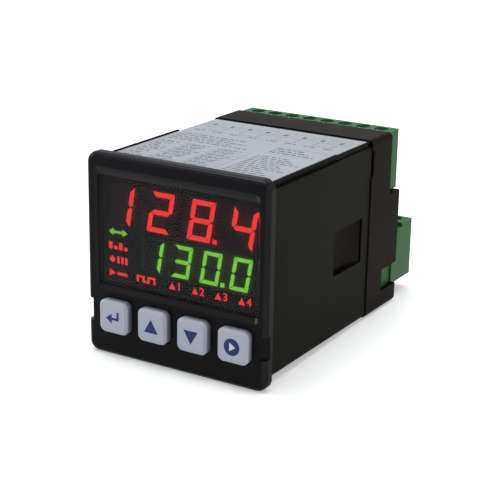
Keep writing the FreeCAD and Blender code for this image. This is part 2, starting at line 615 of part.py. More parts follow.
light_block = new_body("status_light_block")
ell = new_sketch(light_block, "light_block_outline", "XZ_Plane", BLOCK_FRONT)
polygon(ell, [(LIGHT_LEFT, LIGHT_LOW), (ROW_RIGHT, LIGHT_LOW), (ROW_RIGHT, ROW_TOP),
              (COLUMN_RIGHT, ROW_TOP), (COLUMN_RIGHT, COLUMN_TOP), (LIGHT_LEFT, COLUMN_TOP)])
pad(light_block, "light_block", ell, "@board_front - " + BLOCK_FRONT)
pieces.append(light_block)

lights = new_body("status_lights")
light_shapes = new_sketch(lights, "lights_outline", "XZ_Plane", BAR_FRONT)
add_lights(light_shapes)
pad(lights, "light_row", light_shapes, "@bar_thick")
pieces.append(lights)


# ---------------------------------------------------------------- housing_sleeve
# Square tube behind the bezel: dark moulding with a stepped upper edge, a thin rail high
# on each side, a catch window in each side, board guides inside and a seat for the label.

sleeve = new_body("housing_sleeve")
tube = new_sketch(sleeve, "tube_outline", "XZ_Plane", SLEEVE_START)
rounded_rectangle(tube, "-" + SLEEVE_HALF, SLEEVE_HALF, "-" + SLEEVE_HALF, SLEEVE_HALF,
                  "@sleeve_corner")
rectangle(tube, "-" + SLEEVE_INSIDE, SLEEVE_INSIDE, "-" + SLEEVE_INSIDE, SLEEVE_INSIDE)
pad(sleeve, "tube", tube, "@sleeve_length")
inside_half = numeric(SLEEVE_INSIDE)
dress_edges(sleeve, "Chamfer", "front_chamfer", "@sleeve_chamfer",
            lambda edge: lies_at_y(size("skirt_depth"))(edge)
            and max(edge.BoundBox.XMax, -edge.BoundBox.XMin, edge.BoundBox.ZMax,
                    -edge.BoundBox.ZMin) > inside_half + 1e-3)

rail = new_sketch(sleeve, "rail_outline", "XY_Plane", "%s - @rebate_height - @rail_height"
                  % SLEEVE_HALF)
ROOT = SLEEVE_HALF + " - @sleeve_wall / 2"
polygon(rail, [(ROOT, "@rail_start"), (SLEEVE_HALF, "@rail_start"),
               (SLEEVE_HALF + " + @rail_rise", "@rail_start + @rail_ramp"),
               (SLEEVE_HALF + " + @rail_rise", "@rail_start + @rail_length"),
               (ROOT, "@rail_start + @rail_length")])
right_rail = pad(sleeve, "right_rail", rail, "@rail_height")
both_sides(sleeve, "rails", [right_rail])

rebate = new_sketch(sleeve, "rebate_outline", "XZ_Plane", SLEEVE_START)
rectangle(rebate, SLEEVE_HALF + " - @rebate_width", SLEEVE_HALF + " + 1",
          SLEEVE_HALF + " - @rebate_height", SLEEVE_HALF + " + 1")
right_rebate = pocket(sleeve, "right_rebate", rebate, "@sleeve_length")
both_sides(sleeve, "rebates", [right_rebate])

WINDOW_END = "(%s - @window_margin)" % SLEEVE_END
side_window = new_sketch(sleeve, "side_window_outline", "XY_Plane",
                         "-@window_drop - @window_height / 2")
rectangle(side_window, SLEEVE_INSIDE + " - 1", SLEEVE_HALF + " + 1",
          WINDOW_END + " - @window_length", WINDOW_END)
right_window = pocket(sleeve, "right_window", side_window, "@window_height")
both_sides(sleeve, "side_windows", [right_window])

LABEL_HALF = "(%s - @label_border)" % SLEEVE_HALF
LABEL_START = "(%s + @label_margin)" % SLEEVE_START
LABEL_END = "(%s - @label_margin)" % SLEEVE_END
label_seat = new_sketch(sleeve, "label_seat_outline", "XY_Plane", SLEEVE_HALF + " - @label_sink")
rectangle(label_seat, "-" + LABEL_HALF, LABEL_HALF, LABEL_START, LABEL_END)
pocket(sleeve, "label_seat", label_seat, "@label_sink")

guides = new_sketch(sleeve, "guides_outline", "XZ_Plane", "@guide_start")
GUIDE_TIP = "(%s - @guide_reach)" % SLEEVE_INSIDE
GUIDE_ROOT = "(%s + @sleeve_wall / 2)" % SLEEVE_INSIDE
for low, high in (
        (UPPER_BOARD_TOP + " - @board_thick - @guide_gap - @guide_height",
         UPPER_BOARD_TOP + " - @board_thick - @guide_gap"),
        (UPPER_BOARD_TOP + " + @guide_gap", UPPER_BOARD_TOP + " + @guide_gap + @guide_height"),
        ("-" + GUIDE_ROOT, LOWER_BOARD_TOP + " - @board_thick - @guide_gap"),
        (LOWER_BOARD_TOP + " + @guide_gap", LOWER_BOARD_TOP + " + @guide_gap + @guide_height")):
    rectangle(guides, GUIDE_TIP, GUIDE_ROOT, low, high)
right_guides = pad(sleeve, "right_guides", guides, "@guide_length")
both_sides(sleeve, "board_guides", [right_guides])
pieces.append(sleeve)


# ---------------------------------------------------------------- top_label
# Silver rating label on top of the sleeve.

label_body = new_body("top_label")
label_outline = new_sketch(label_body, "label_outline", "XY_Plane",
                           SLEEVE_HALF + " - @label_sink")
rectangle(label_outline, "-" + LABEL_HALF, LABEL_HALF, LABEL_START, LABEL_END)
pad(label_body, "label_film", label_outline, "@label_thick")
pieces.append(label_body)


# ---------------------------------------------------------------- rear_cover
# Slightly larger square cap behind the sleeve. Its upper rear is open for the upper plug,
# its rear wall has the opening of the lower header, and two arms with catches reach
# forward inside the sleeve.

HEADER_HALF = "(%s + @header_gap + @header_wall)" % MATING_HALF
cover = new_body("rear_cover")
cap = new_sketch(cover, "cap_outline", "XZ_Plane", SLEEVE_END)
rounded_rectangle(cap, "-" + COVER_HALF, COVER_HALF, "-" + COVER_HALF, COVER_HALF,
                  "@cover_corner")
pad(cover, "cap", cap, "@cover_depth")
inside = new_sketch(cover, "cap_inside_outline", "XZ_Plane", SLEEVE_END)
rectangle(inside, "-" + COVER_INSIDE, COVER_INSIDE, "-" + COVER_INSIDE, COVER_INSIDE)
pocket(cover, "cap_inside", inside, "@cover_depth - @cover_rear_wall")

top_cut = new_sketch(cover, "top_cut_outline", "XZ_Plane", COVER_END + " - @cover_top_cut")
rectangle(top_cut, "-%s - 1" % COVER_HALF, COVER_HALF + " + 1", UPPER_LOW + " - @sill_gap",
          COVER_HALF + " + 1")
pocket(cover, "top_cut", top_cut, "@cover_top_cut")

lower_hole = new_sketch(cover, "lower_hole_outline", "XZ_Plane",
                        COVER_END + " - @cover_rear_wall")
HOLE_HALF = "(%s + @header_gap)" % HEADER_HALF
HEADER_HEIGHT = "(@mating_height + 2 * @header_gap + 2 * @header_wall)"
rectangle(lower_hole, "-" + HOLE_HALF, HOLE_HALF, LOWER_BOARD_TOP + " - @header_gap",
          LOWER_BOARD_TOP + " + @header_gap + " + HEADER_HEIGHT)
pocket(cover, "lower_hole", lower_hole, "@cover_rear_wall")

side_notch = new_sketch(cover, "side_notch_outline", "XY_Plane",
                        LOWER_BOARD_TOP + " + @side_notch_rise")
rectangle(side_notch, HOLE_HALF, COVER_HALF + " + 1", COVER_END + " - @side_notch_depth",
          COVER_END)
right_side_notch = pocket(cover, "right_side_notch", side_notch, "@side_notch_height")
both_sides(cover, "cover_notches", [right_side_notch])

slot = new_sketch(cover, "slot_outline", "XY_Plane",
                  SLEEVE_HALF + " - @slot_drop - @slot_height")
rectangle(slot, COVER_INSIDE + " - 0.2", COVER_HALF + " + 1", SLEEVE_END,
          SLEEVE_END + " + @slot_width")
right_slot = pocket(cover, "right_slot", slot, "@slot_height")
both_sides(cover, "edge_slots", [right_slot])

ARM_OUTER = "(%s - @arm_gap)" % SLEEVE_INSIDE
arm = new_sketch(cover, "arm_outline", "XY_Plane", "-@window_drop - @arm_height / 2")
WALL_MIDDLE = "(%s - @cover_wall / 2)" % COVER_HALF
CATCH_FACE = "(%s - @catch_play)" % WINDOW_END
ARM_TIP = "(%s - @arm_reach)" % SLEEVE_END
polygon(arm, [(ARM_OUTER + " - @arm_thick", ARM_TIP),
              (ARM_OUTER, ARM_TIP),
              (ARM_OUTER, CATCH_FACE + " - @catch_length"),
              (ARM_OUTER + " + @catch_rise", CATCH_FACE + " - 0.8"),
              (ARM_OUTER + " + @catch_rise", CATCH_FACE),
              (ARM_OUTER, CATCH_FACE), (ARM_OUTER, SLEEVE_END),
              (WALL_MIDDLE, SLEEVE_END), (WALL_MIDDLE, SLEEVE_END + " + @arm_root"),
              (ARM_OUTER + " - @arm_thick", SLEEVE_END + " + @arm_root")])
right_arm = pad(cover, "right_arm", arm, "@arm_height")
both_sides(cover, "arms", [right_arm])
pieces.append(cover)


# ---------------------------------------------------------------- boards
# Two boards lie flat in the sleeve's guides. Both have square holes for the legs of the
# link pins at the front and of the header pins at the rear.

LINK_FIRST = "(-@link_pitch * (@link_count - 1) / 2)"


def terminal_levels(which):
    """Top of the plug, its rear face and its mating end, as formulas."""
    top = UPPER_TOP if which == "upper" else LOWER_TOP
    rear = UPPER_REAR if which == "upper" else LOWER_REAR
    front = "(%s - @plug_block - @plug_mating)" % rear
    return top, rear, front


for which, label in (("upper", "power_board"), ("lower", "signal_board")):
    top, rear, front = terminal_levels(which)
    board_top = UPPER_BOARD_TOP if which == "upper" else LOWER_BOARD_TOP
    leg_start = "(%s - @header_gap - @header_front - 2 * @pin_size)" % front
    board = new_body(label)
    plate = new_sketch(board, label + "_outline", "XY_Plane", board_top + " - @board_thick")
    board_end = front + " + @plug_mating + @board_tail" if which == "upper" \
        else COVER_END + " - @cover_rear_wall - @board_gap"
    rectangle(plate, "-" + BOARD_HALF, BOARD_HALF, "@board_start", board_end)
    pad(board, label + "_plate", plate, "@board_thick")
    for kind, first, low, side, pitch, count in (
            ("link", LINK_FIRST, "(@link_leg - @link_pin)", "@link_pin", "@link_pitch",
             "@link_count"),
            ("terminal", FIRST_POLE, leg_start, "@pin_size", "@pole_pitch", "@poles")):
        hole = new_sketch(board, label + "_" + kind + "_hole_outline", "XY_Plane",
                          board_top + " - @board_thick")
        rectangle(hole, "%s - %s / 2" % (first, side), "%s + %s / 2" % (first, side), low,
                  "%s + %s" % (low, side))
        first_leg = pocket(board, label + "_" + kind + "_hole", hole, "@board_thick")
        repeat(board, label + "_" + kind + "_holes", [first_leg], hole, pitch, count)
    pieces.append(board)


# ---------------------------------------------------------------- link_sockets, link_pins
# The display board plugs onto both flat boards: a socket strip on its rear for each, and
# angled pins that stand in the flat boards.

sockets = new_body("link_sockets")
pins = new_body("link_pins")
SOCKET_HALF = "(@link_pitch * @link_count / 2)"
for which, board_top in (("upper", UPPER_BOARD_TOP), ("lower", LOWER_BOARD_TOP)):
    level = "(%s + @link_height / 2)" % board_top
    strip = new_sketch(sockets, which + "_strip_outline", "XZ_Plane", BOARD_BACK)
    rectangle(strip, "-" + SOCKET_HALF, SOCKET_HALF, level + " - @link_height / 2",
              level + " + @link_height / 2")
    pad(sockets, which + "_strip", strip, "@link_depth")
    way = new_sketch(sockets, which + "_way_outline", "XZ_Plane",
                     BOARD_BACK + " + @link_depth - @link_reach")
    rectangle(way, LINK_FIRST + " - @link_pin / 2", LINK_FIRST + " + @link_pin / 2",
              level + " - @link_pin / 2", level + " + @link_pin / 2")
    first_way = pocket(sockets, which + "_way", way, "@link_reach")
    repeat(sockets, which + "_ways", [first_way], way, "@link_pitch", "@link_count")
    bent = new_sketch(pins, which + "_pin_outline", "YZ_Plane", LINK_FIRST + " - @link_pin / 2")
    tip = BOARD_BACK + " + @link_depth - @link_reach"
    tail = board_top + " - @board_thick"
    polygon(bent, [(tip, level + " - @link_pin / 2"),
                   ("@link_leg - @link_pin", level + " - @link_pin / 2"),
                   ("@link_leg - @link_pin", tail), ("@link_leg", tail),
                   ("@link_leg", level + " + @link_pin / 2"),
                   (tip, level + " + @link_pin / 2")])
    first_pin = pad(pins, which + "_pin", bent, "@link_pin")
    pattern = pins.newObject("PartDesign::LinearPattern", which + "_pins")
    pattern.Originals = [first_pin]
    pattern.Direction = (bent, ["N_Axis"])
    bind(pattern, "Length", "@link_pitch * (@link_count - 1)")
    bind(pattern, "Occurrences", "@link_count")
    pins.Tip = pattern
    doc.recompute()
pieces.append(sockets)
pieces.append(pins)


# ---------------------------------------------------------------- terminals
# Two identical eight-way pluggable screw terminals. On each, the green plug has a raised
# rear part with the screw wells and a lower front part that enters a green header; the
# header stands on its board and carries the square pins.

for which in ("upper", "lower"):
    top, rear, front = terminal_levels(which)
    board_top = UPPER_BOARD_TOP if which == "upper" else LOWER_BOARD_TOP
    board_level = "(%s - @board_thick)" % board_top
    low = "(%s - @plug_height)" % top
    mating_low = "(%s + @mating_lift)" % low
    mating_high = "(%s + @mating_height)" % mating_low
    pin_level = "(%s + @mating_height / 2)" % mating_low
    block_front = "(%s - @plug_block)" % rear
    screw_y = "(%s - @screw_inset)" % rear
    chamber_rear = "(%s - @entry_wall)" % rear
    chamber_front = "(%s - @entry_wall - @chamber_depth)" % rear
    chamber_low = "(%s + @chamber_floor)" % low
    chamber_high = "(%s + @chamber_height)" % chamber_low
    name = which + "_plug"

    plug = new_body(name)
    profile = new_sketch(plug, name + "_outline", "YZ_Plane", "-" + PLUG_HALF)
    polygon(profile, [(block_front, low), (rear, low), (rear, top),
                      ("%s - @tower_depth" % rear, top),
                      ("%s - @tower_depth" % rear, "%s - @tower_step" % top),
                      (block_front, "%s - @tower_step" % top)])
    pad(plug, name + "_block", profile, "2 * " + PLUG_HALF)
    nose = new_sketch(plug, name + "_nose_outline", "XZ_Plane", front)
    rectangle(nose, "-" + MATING_HALF, MATING_HALF, mating_low, mating_high)
    pad(plug, name + "_nose", nose, "@plug_mating + @entry_wall")
    chamber = new_sketch(plug, name + "_chamber_outline", "XY_Plane", chamber_low)
    rectangle(chamber, FIRST_POLE + " - @chamber_width / 2", FIRST_POLE + " + @chamber_width / 2",
              chamber_front, chamber_rear)
    chamber_cut = pocket(plug, name + "_chamber", chamber, "@chamber_height")
    well = new_sketch(plug, name + "_well_outline", "XY_Plane", chamber_high)
    many_sided(well, FIRST_POLE, screw_y, "@screw_bore", 16)
    well_cut = pocket(plug, name + "_well", well, "%s - %s" % (top, chamber_high))
    entry = new_sketch(plug, name + "_entry_outline", "XZ_Plane", chamber_rear)
    rectangle(entry, FIRST_POLE + " - @entry_width / 2", FIRST_POLE + " + @entry_width / 2",
              chamber_low + " + @clamp_wall", chamber_low + " + @clamp_wall + @entry_height")
    entry_cut = pocket(plug, name + "_entry", entry, "@entry_wall")
    channel = new_sketch(plug, name + "_channel_outline", "XZ_Plane", front)
    rectangle(channel, FIRST_POLE + " - @pin_channel / 2", FIRST_POLE + " + @pin_channel / 2",
              pin_level + " - @pin_channel / 2", pin_level + " + @pin_channel / 2")
    channel_cut = pocket(plug, name + "_channel", channel, "%s - %s" % (chamber_front, front))
    repeat(plug, name + "_poles", [chamber_cut, well_cut, entry_cut, channel_cut], channel,
           "@pole_pitch", "@poles")
    pieces.append(plug)

    screws = new_body(name + "_screws")
    head_top = "(%s - @screw_sink)" % top
    clamp_top = "(%s + @clamp_height)" % chamber_low
    head = new_sketch(screws, name + "_head_outline", "XY_Plane", head_top + " - @head_thick")
    many_sided(head, FIRST_POLE, screw_y, "@screw_head", 12)
    head_pad = pad(screws, name + "_head", head, "@head_thick")
    shank = new_sketch(screws, name + "_shank_outline", "XY_Plane", clamp_top)
    many_sided(shank, FIRST_POLE, screw_y, "@shank_radius", 6)
    shank_pad = pad(screws, name + "_shank", shank,
                    "%s - @head_thick - %s" % (head_top, clamp_top))
    cross = new_sketch(screws, name + "_cross_outline", "XY_Plane", head_top + " - @slot_size")
    rectangle(cross, FIRST_POLE + " - @screw_head - 0.2", FIRST_POLE + " + @screw_head + 0.2",
              screw_y + " - @slot_size / 2", screw_y + " + @slot_size / 2")
    cross_cut = pocket(screws, name + "_cross", cross, "@slot_size")
    repeat(screws, name + "_screw_row", [head_pad, shank_pad, cross_cut], head, "@pole_pitch",
           "@poles")
    pieces.append(screws)

    clamps = new_body(name + "_clamps")
    cage = new_sketch(clamps, name + "_cage_outline", "XZ_Plane",
                      chamber_rear + " - @clamp_gap - @clamp_length")
    half = "(@chamber_width / 2 - @clamp_gap)"
    rectangle(cage, "%s - %s" % (FIRST_POLE, half), "%s + %s" % (FIRST_POLE, half),
              chamber_low, clamp_top)
    rectangle(cage, "%s - %s + @clamp_wall" % (FIRST_POLE, half),
              "%s + %s - @clamp_wall" % (FIRST_POLE, half),
              chamber_low + " + @clamp_wall", clamp_top + " - @clamp_wall")
    cage_pad = pad(clamps, name + "_cage", cage, "@clamp_length")
    repeat(clamps, name + "_cages", [cage_pad], cage, "@pole_pitch", "@poles")
    pieces.append(clamps)

    header = new_body(which + "_header")
    shell_start = "(%s - @header_gap - @header_front)" % front
    shell_half = HEADER_HALF
    shell = new_sketch(header, which + "_shell_outline", "XZ_Plane", shell_start)
    rectangle(shell, "-" + shell_half, shell_half, board_top, "%s + %s"
              % (board_top, HEADER_HEIGHT))
    pad(header, which + "_shell", shell, "%s - @plug_seat - %s" % (block_front, shell_start))
    hollow = new_sketch(header, which + "_hollow_outline", "XZ_Plane",
                        shell_start + " + @header_front")
    rectangle(hollow, "-(%s + @header_gap)" % MATING_HALF, MATING_HALF + " + @header_gap",
              board_top + " + @header_wall",
              "%s + %s - @header_wall" % (board_top, HEADER_HEIGHT))
    pocket(header, which + "_hollow", hollow, "@plug_mating + 2 * @header_gap")
    pin_hole = new_sketch(header, which + "_pin_hole_outline", "XZ_Plane", shell_start)
    rectangle(pin_hole, FIRST_POLE + " - @pin_size / 2", FIRST_POLE + " + @pin_size / 2",
              pin_level + " - @pin_size / 2", pin_level + " + @pin_size / 2")
    hole_cut = pocket(header, which + "_pin_hole", pin_hole, "@header_front")
    repeat(header, which + "_pin_holes", [hole_cut], pin_hole, "@pole_pitch", "@poles")
    pieces.append(header)

    header_pins = new_body(which + "_header_pins")
    leg = "(%s - 2 * @pin_size)" % shell_start
    angle = new_sketch(header_pins, which + "_header_pin_outline", "YZ_Plane",
                       FIRST_POLE + " - @pin_size / 2")
    tip = "(%s + @header_front + @pin_reach)" % shell_start
    polygon(angle, [(leg, board_level), (leg + " + @pin_size", board_level),
                    (leg + " + @pin_size", pin_level + " - @pin_size / 2"),
                    (tip, pin_level + " - @pin_size / 2"), (tip, pin_level + " + @pin_size / 2"),
                    (leg, pin_level + " + @pin_size / 2")])
    one_pin = pad(header_pins, which + "_header_pin", angle, "@pin_size")
    row = header_pins.newObject("PartDesign::LinearPattern", which + "_header_pin_row")
    row.Originals = [one_pin]
    row.Direction = (angle, ["N_Axis"])
    bind(row, "Length", "@pole_pitch * (@poles - 1)")
    bind(row, "Occurrences", "@poles")
    header_pins.Tip = row
    doc.recompute()
    pieces.append(header_pins)


# ---------------------------------------------------------------- parts on the boards
# Plain shapes of the parts that fill a controller of this kind: a small transformer, two
# smoothing capacitors and two relays above; processor, converters and a crystal below.

core_x = ("@core_x", "@core_x + @core_width")
core_y = ("@core_y", "@core_y + @core_depth")
core_z = (UPPER_BOARD_TOP, UPPER_BOARD_TOP + " + @core_height")
core_block = box("core_block", core_x, core_y, core_z)
legs = []
for place, side in enumerate(("left", "right")):
    edge = "@core_x + @core_leg / 2" if place == 0 else "@core_x + @core_width / 2 + @core_leg / 2"
    far = "@core_x + @core_width / 2 - @core_leg / 2" if place == 0 \
        else "@core_x + @core_width - @core_leg / 2"
    legs.append(box("core_" + side + "_gap", (edge, far), ("@core_y - 1", core_y[1] + " + 1"),
                    (UPPER_BOARD_TOP + " + @core_leg / 2",
                     UPPER_BOARD_TOP + " + @core_height - @core_leg / 2")))
pieces.append(combine("Cut", "transformer_core", core_block, legs))

coil_block = box("coil_block", ("@core_x + @core_leg / 2",
                                "@core_x + @core_width - @core_leg / 2"),
                 ("@core_y - @coil_wrap", core_y[1] + " + @coil_wrap"),
                 (UPPER_BOARD_TOP + " + @core_leg / 2",
                  UPPER_BOARD_TOP + " + @core_height - @core_leg / 2"))
coil_hole = box("coil_hole", ("@core_x + @core_width / 2 - @core_leg / 2",
                              "@core_x + @core_width / 2 + @core_leg / 2"), core_y,
                (UPPER_BOARD_TOP, core_z[1]))
pieces.append(combine("Cut", "transformer_coil", coil_block, [coil_hole]))

cans = new_body("smoothing_capacitors")
can = new_sketch(cans, "can_outline", "XY_Plane", UPPER_BOARD_TOP)
many_sided(can, "@can_x", "@can_y", "@can_radius", 16)
one_can = pad(cans, "can", can, "@can_height")
repeat(cans, "can_row", [one_can], can, "@can_pitch", "2")
pieces.append(cans)

relays = new_body("output_relays")
relay = new_sketch(relays, "relay_outline", "XY_Plane", UPPER_BOARD_TOP)
RELAY_FRONT = "(%s + @coil_wrap + @relay_gap)" % core_y[1]
UPPER_PINS = "(%s - @header_gap - @header_front - 2 * @pin_size)" % terminal_levels("upper")[2]
rectangle(relay, "@relay_x", "@relay_x + @relay_width", RELAY_FRONT,
          UPPER_PINS + " - @relay_space")
one_relay = pad(relays, "relay", relay, "@relay_height")
repeat(relays, "relay_row", [one_relay], relay, "@relay_pitch", "2")
pieces.append(relays)

processor = box("processor_chip", ("-@chip_size / 2", "@chip_size / 2"),
                ("@chip_y", "@chip_y + @chip_size"),
                (LOWER_BOARD_TOP, LOWER_BOARD_TOP + " + @chip_thick"))
pieces.append(processor)

chips = new_body("measuring_chips")
chip = new_sketch(chips, "chip_outline", "XY_Plane", LOWER_BOARD_TOP)
rectangle(chip, "@small_chip_x", "@small_chip_x + @small_chip", "@small_chip_y",
          "@small_chip_y + @small_chip")
one_chip = pad(chips, "chip", chip, "@small_chip_thick")
repeat(chips, "chip_row", [one_chip], chip, "@small_chip_pitch", "3")
pieces.append(chips)

quartz = new_body("quartz_can")
can_outline = new_sketch(quartz, "quartz_outline", "XY_Plane", LOWER_BOARD_TOP)
rounded_rectangle(can_outline, "@quartz_x", "@quartz_x + @quartz_length", "@quartz_y",
                  "@quartz_y + @quartz_width", "@quartz_width / 2.2")
pad(quartz, "quartz", can_outline, "@quartz_height")
pieces.append(quartz)

driver = box("display_driver", ("-@driver_size / 2", "@driver_size / 2"),
             (BOARD_BACK, BOARD_BACK + " + @chip_thick"),
             ("@driver_low", "@driver_low + @driver_size"))
pieces.append(driver)


# ---------------------------------------------------------------- checks and files

doc.recompute()
for thing in doc.Objects:
    if "Invalid" in thing.State or "Error" in thing.State:
        raise RuntimeError("%s did not compute" % thing.Label)

os.makedirs("parts", exist_ok=True)
for piece in pieces:
    if piece.Shape.isNull() or not piece.Shape.isValid():
        raise RuntimeError("%s has no sound shape" % piece.Label)
    piece.Shape.exportStep("parts/%s.step" % piece.Label)
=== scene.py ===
import math

import bmesh
import bpy
from mathutils import Matrix, Vector


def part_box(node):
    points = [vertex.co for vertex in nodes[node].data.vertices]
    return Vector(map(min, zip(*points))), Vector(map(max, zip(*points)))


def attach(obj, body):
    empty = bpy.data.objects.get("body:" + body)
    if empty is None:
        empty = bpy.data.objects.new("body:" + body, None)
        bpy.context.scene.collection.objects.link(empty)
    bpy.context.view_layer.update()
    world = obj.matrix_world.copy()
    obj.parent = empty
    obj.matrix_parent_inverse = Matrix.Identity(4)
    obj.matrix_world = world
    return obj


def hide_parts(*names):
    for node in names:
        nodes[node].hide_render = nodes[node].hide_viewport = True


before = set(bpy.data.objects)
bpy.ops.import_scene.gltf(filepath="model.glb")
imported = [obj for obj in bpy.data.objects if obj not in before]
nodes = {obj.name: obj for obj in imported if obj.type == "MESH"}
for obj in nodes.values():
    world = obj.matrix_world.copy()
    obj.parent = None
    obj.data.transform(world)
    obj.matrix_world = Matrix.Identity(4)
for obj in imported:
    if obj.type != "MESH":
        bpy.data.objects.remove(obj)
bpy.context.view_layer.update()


# ---- Room ----
# A pale table top under a large overhead softbox and a weaker one at the left. The
# controller stands on its bezel and on the rear cover, so the table leans by the
# small angle between those two edges. The paper looks whiter with distance.

bpy.context.scene.view_settings.view_transform = "Standard"
MM = 0.001
floor_lean = math.atan2(24.0 - 22.65, 64.6)
floor_mesh = bmesh.new()
bmesh.ops.create_grid(floor_mesh, x_segments=1, y_segments=1, size=3.0)
bmesh.ops.rotate(floor_mesh, verts=floor_mesh.verts, matrix=Matrix.Rotation(floor_lean, 3, "X"))
bmesh.ops.translate(floor_mesh, verts=floor_mesh.verts, vec=(0, 0, -24.0 * MM))
floor_data = bpy.data.meshes.new("floor")
floor_mesh.to_mesh(floor_data)
floor_mesh.free()
floor = bpy.data.objects.new("floor", floor_data)
bpy.context.collection.objects.link(floor)


def white_for_viewer(tree, plain_shader, strength):
    """Adds enough white for camera, mirror and glass rays that the paper reads as white."""
    light_path = tree.nodes.new("ShaderNodeLightPath")
    direct = tree.nodes.new("ShaderNodeMath")
    direct.operation = "MAXIMUM"
    tree.links.new(light_path.outputs["Is Camera Ray"], direct.inputs[0])
    tree.links.new(light_path.outputs["Is Transmission Ray"], direct.inputs[1])
    seen = tree.nodes.new("ShaderNodeMath")
    seen.operation = "MAXIMUM"
    tree.links.new(direct.outputs[0], seen.inputs[0])
    tree.links.new(light_path.outputs["Is Glossy Ray"], seen.inputs[1])
    white = tree.nodes.new("ShaderNodeEmission")
    white.inputs["Color"].default_value = (1, 1, 1, 1)
    white.inputs["Strength"].default_value = strength
    both = tree.nodes.new("ShaderNodeAddShader")
    tree.links.new(plain_shader, both.inputs[0])
    tree.links.new(white.outputs[0], both.inputs[1])
    choice = tree.nodes.new("ShaderNodeMixShader")
    tree.links.new(seen.outputs[0], choice.inputs[0])
    tree.links.new(plain_shader, choice.inputs[1])
    tree.links.new(both.outputs[0], choice.inputs[2])
    return choice.outputs[0]


def ramp(tree, source, start, end, low, high):
    """Turns a measure between start and end into a value between low and high."""
    step = tree.nodes.new("ShaderNodeMapRange")
    for socket, value in zip(("From Min", "From Max", "To Min", "To Max"),
                             (start, end, low, high)):
        step.inputs[socket].default_value = value
    tree.links.new(source, step.inputs["Value"])
    return step.outputs["Result"]


near_white, far_white = 0.32, 0.75
paper = bpy.data.materials.new("white_paper")
paper.use_nodes = True
paper_shader = paper.node_tree.nodes["Principled BSDF"]
paper_shader.inputs["Base Color"].default_value = (0.86, 0.86, 0.86, 1)
paper_shader.inputs["Roughness"].default_value = 0.9
paper_shader.inputs["Specular IOR Level"].default_value = 0.1
paper_white = white_for_viewer(paper.node_tree, paper_shader.outputs[0], near_white)
paper_place = paper.node_tree.nodes.new("ShaderNodeTexCoord")
paper_reach = paper.node_tree.nodes.new("ShaderNodeVectorMath")
paper_reach.operation = "LENGTH"
paper.node_tree.links.new(paper_place.outputs["Object"], paper_reach.inputs[0])
paper_fade = ramp(paper.node_tree, paper_reach.outputs["Value"], 250 * MM, 700 * MM,
                  near_white, far_white)
paper.node_tree.links.new(paper_fade, paper.node_tree.nodes["Emission"].inputs["Strength"])
paper.node_tree.links.new(paper_white, paper.node_tree.nodes["Material Output"].inputs[0])
floor_data.materials.append(paper)

world = bpy.data.worlds.new("studio")
bpy.context.scene.world = world
world.use_nodes = True
sky = world.node_tree.nodes["Background"]
sky.inputs["Color"].default_value = (0.90, 0.95, 1.0, 1)
sky.inputs["Strength"].default_value = 0.45
world_white = white_for_viewer(world.node_tree, sky.outputs[0], 0.6)
world.node_tree.links.new(world_white, world.node_tree.nodes["World Output"].inputs[0])


def softbox(name, place, target, width, depth, power, tint=(1, 1, 1)):
    """An area lamp at a place in millimetres, turned to face a target."""
    lamp = bpy.data.lights.new(name, "AREA")
    lamp.shape = "RECTANGLE"
    lamp.size = width * MM
    lamp.size_y = depth * MM
    lamp.energy = power
    lamp.color = tint
    holder = bpy.data.objects.new(name, lamp)
    bpy.context.collection.objects.link(holder)
    holder.location = Vector(place) * MM
    direction = (Vector(target) - Vector(place)).normalized()
    holder.rotation_euler = direction.to_track_quat("-Z", "Y").to_euler()
    return holder


softbox("overhead_softbox", (-60, 60, 520), (0, 30, 0), 420, 420, 2.6)
softbox("left_softbox", (-520, -160, 160), (0, 20, 0), 300, 300, 0.9)
softbox("right_softbox", (460, 60, 240), (0, 40, 0), 260, 260, 0.45, (1, 0.94, 0.84))


# ---- Camera ----
# A long lens a third of a metre away, right of the front and a little above it.

look_at = Vector((-0.19, 30.0, -4.03)) * MM
swing = math.radians(30.95)
lift = math.radians(18.0)
reach = 333.0 * MM
roll = math.radians(1.06)
camera_data = bpy.data.cameras.new("product_camera")
camera_data.sensor_width = 36.0
camera_data.lens = 99.2
camera_data.clip_start = 0.01
camera = bpy.data.objects.new("product_camera", camera_data)
bpy.context.collection.objects.link(camera)
camera.location = look_at + reach * Vector((math.sin(swing) * math.cos(lift),
                                            -math.cos(swing) * math.cos(lift),
                                            math.sin(lift)))
aim = (look_at - camera.location).to_track_quat("-Z", "Y").to_matrix()
camera.rotation_euler = (aim @ Matrix.Rotation(roll, 3, "Z")).to_euler()
bpy.context.scene.camera = camera


# ---- Front bezel ----
# A single moulding in black satin plastic, fine-sparked on its faces. Its rim and the
# slopes round the lens are smoother. It presses on the panel from the front.

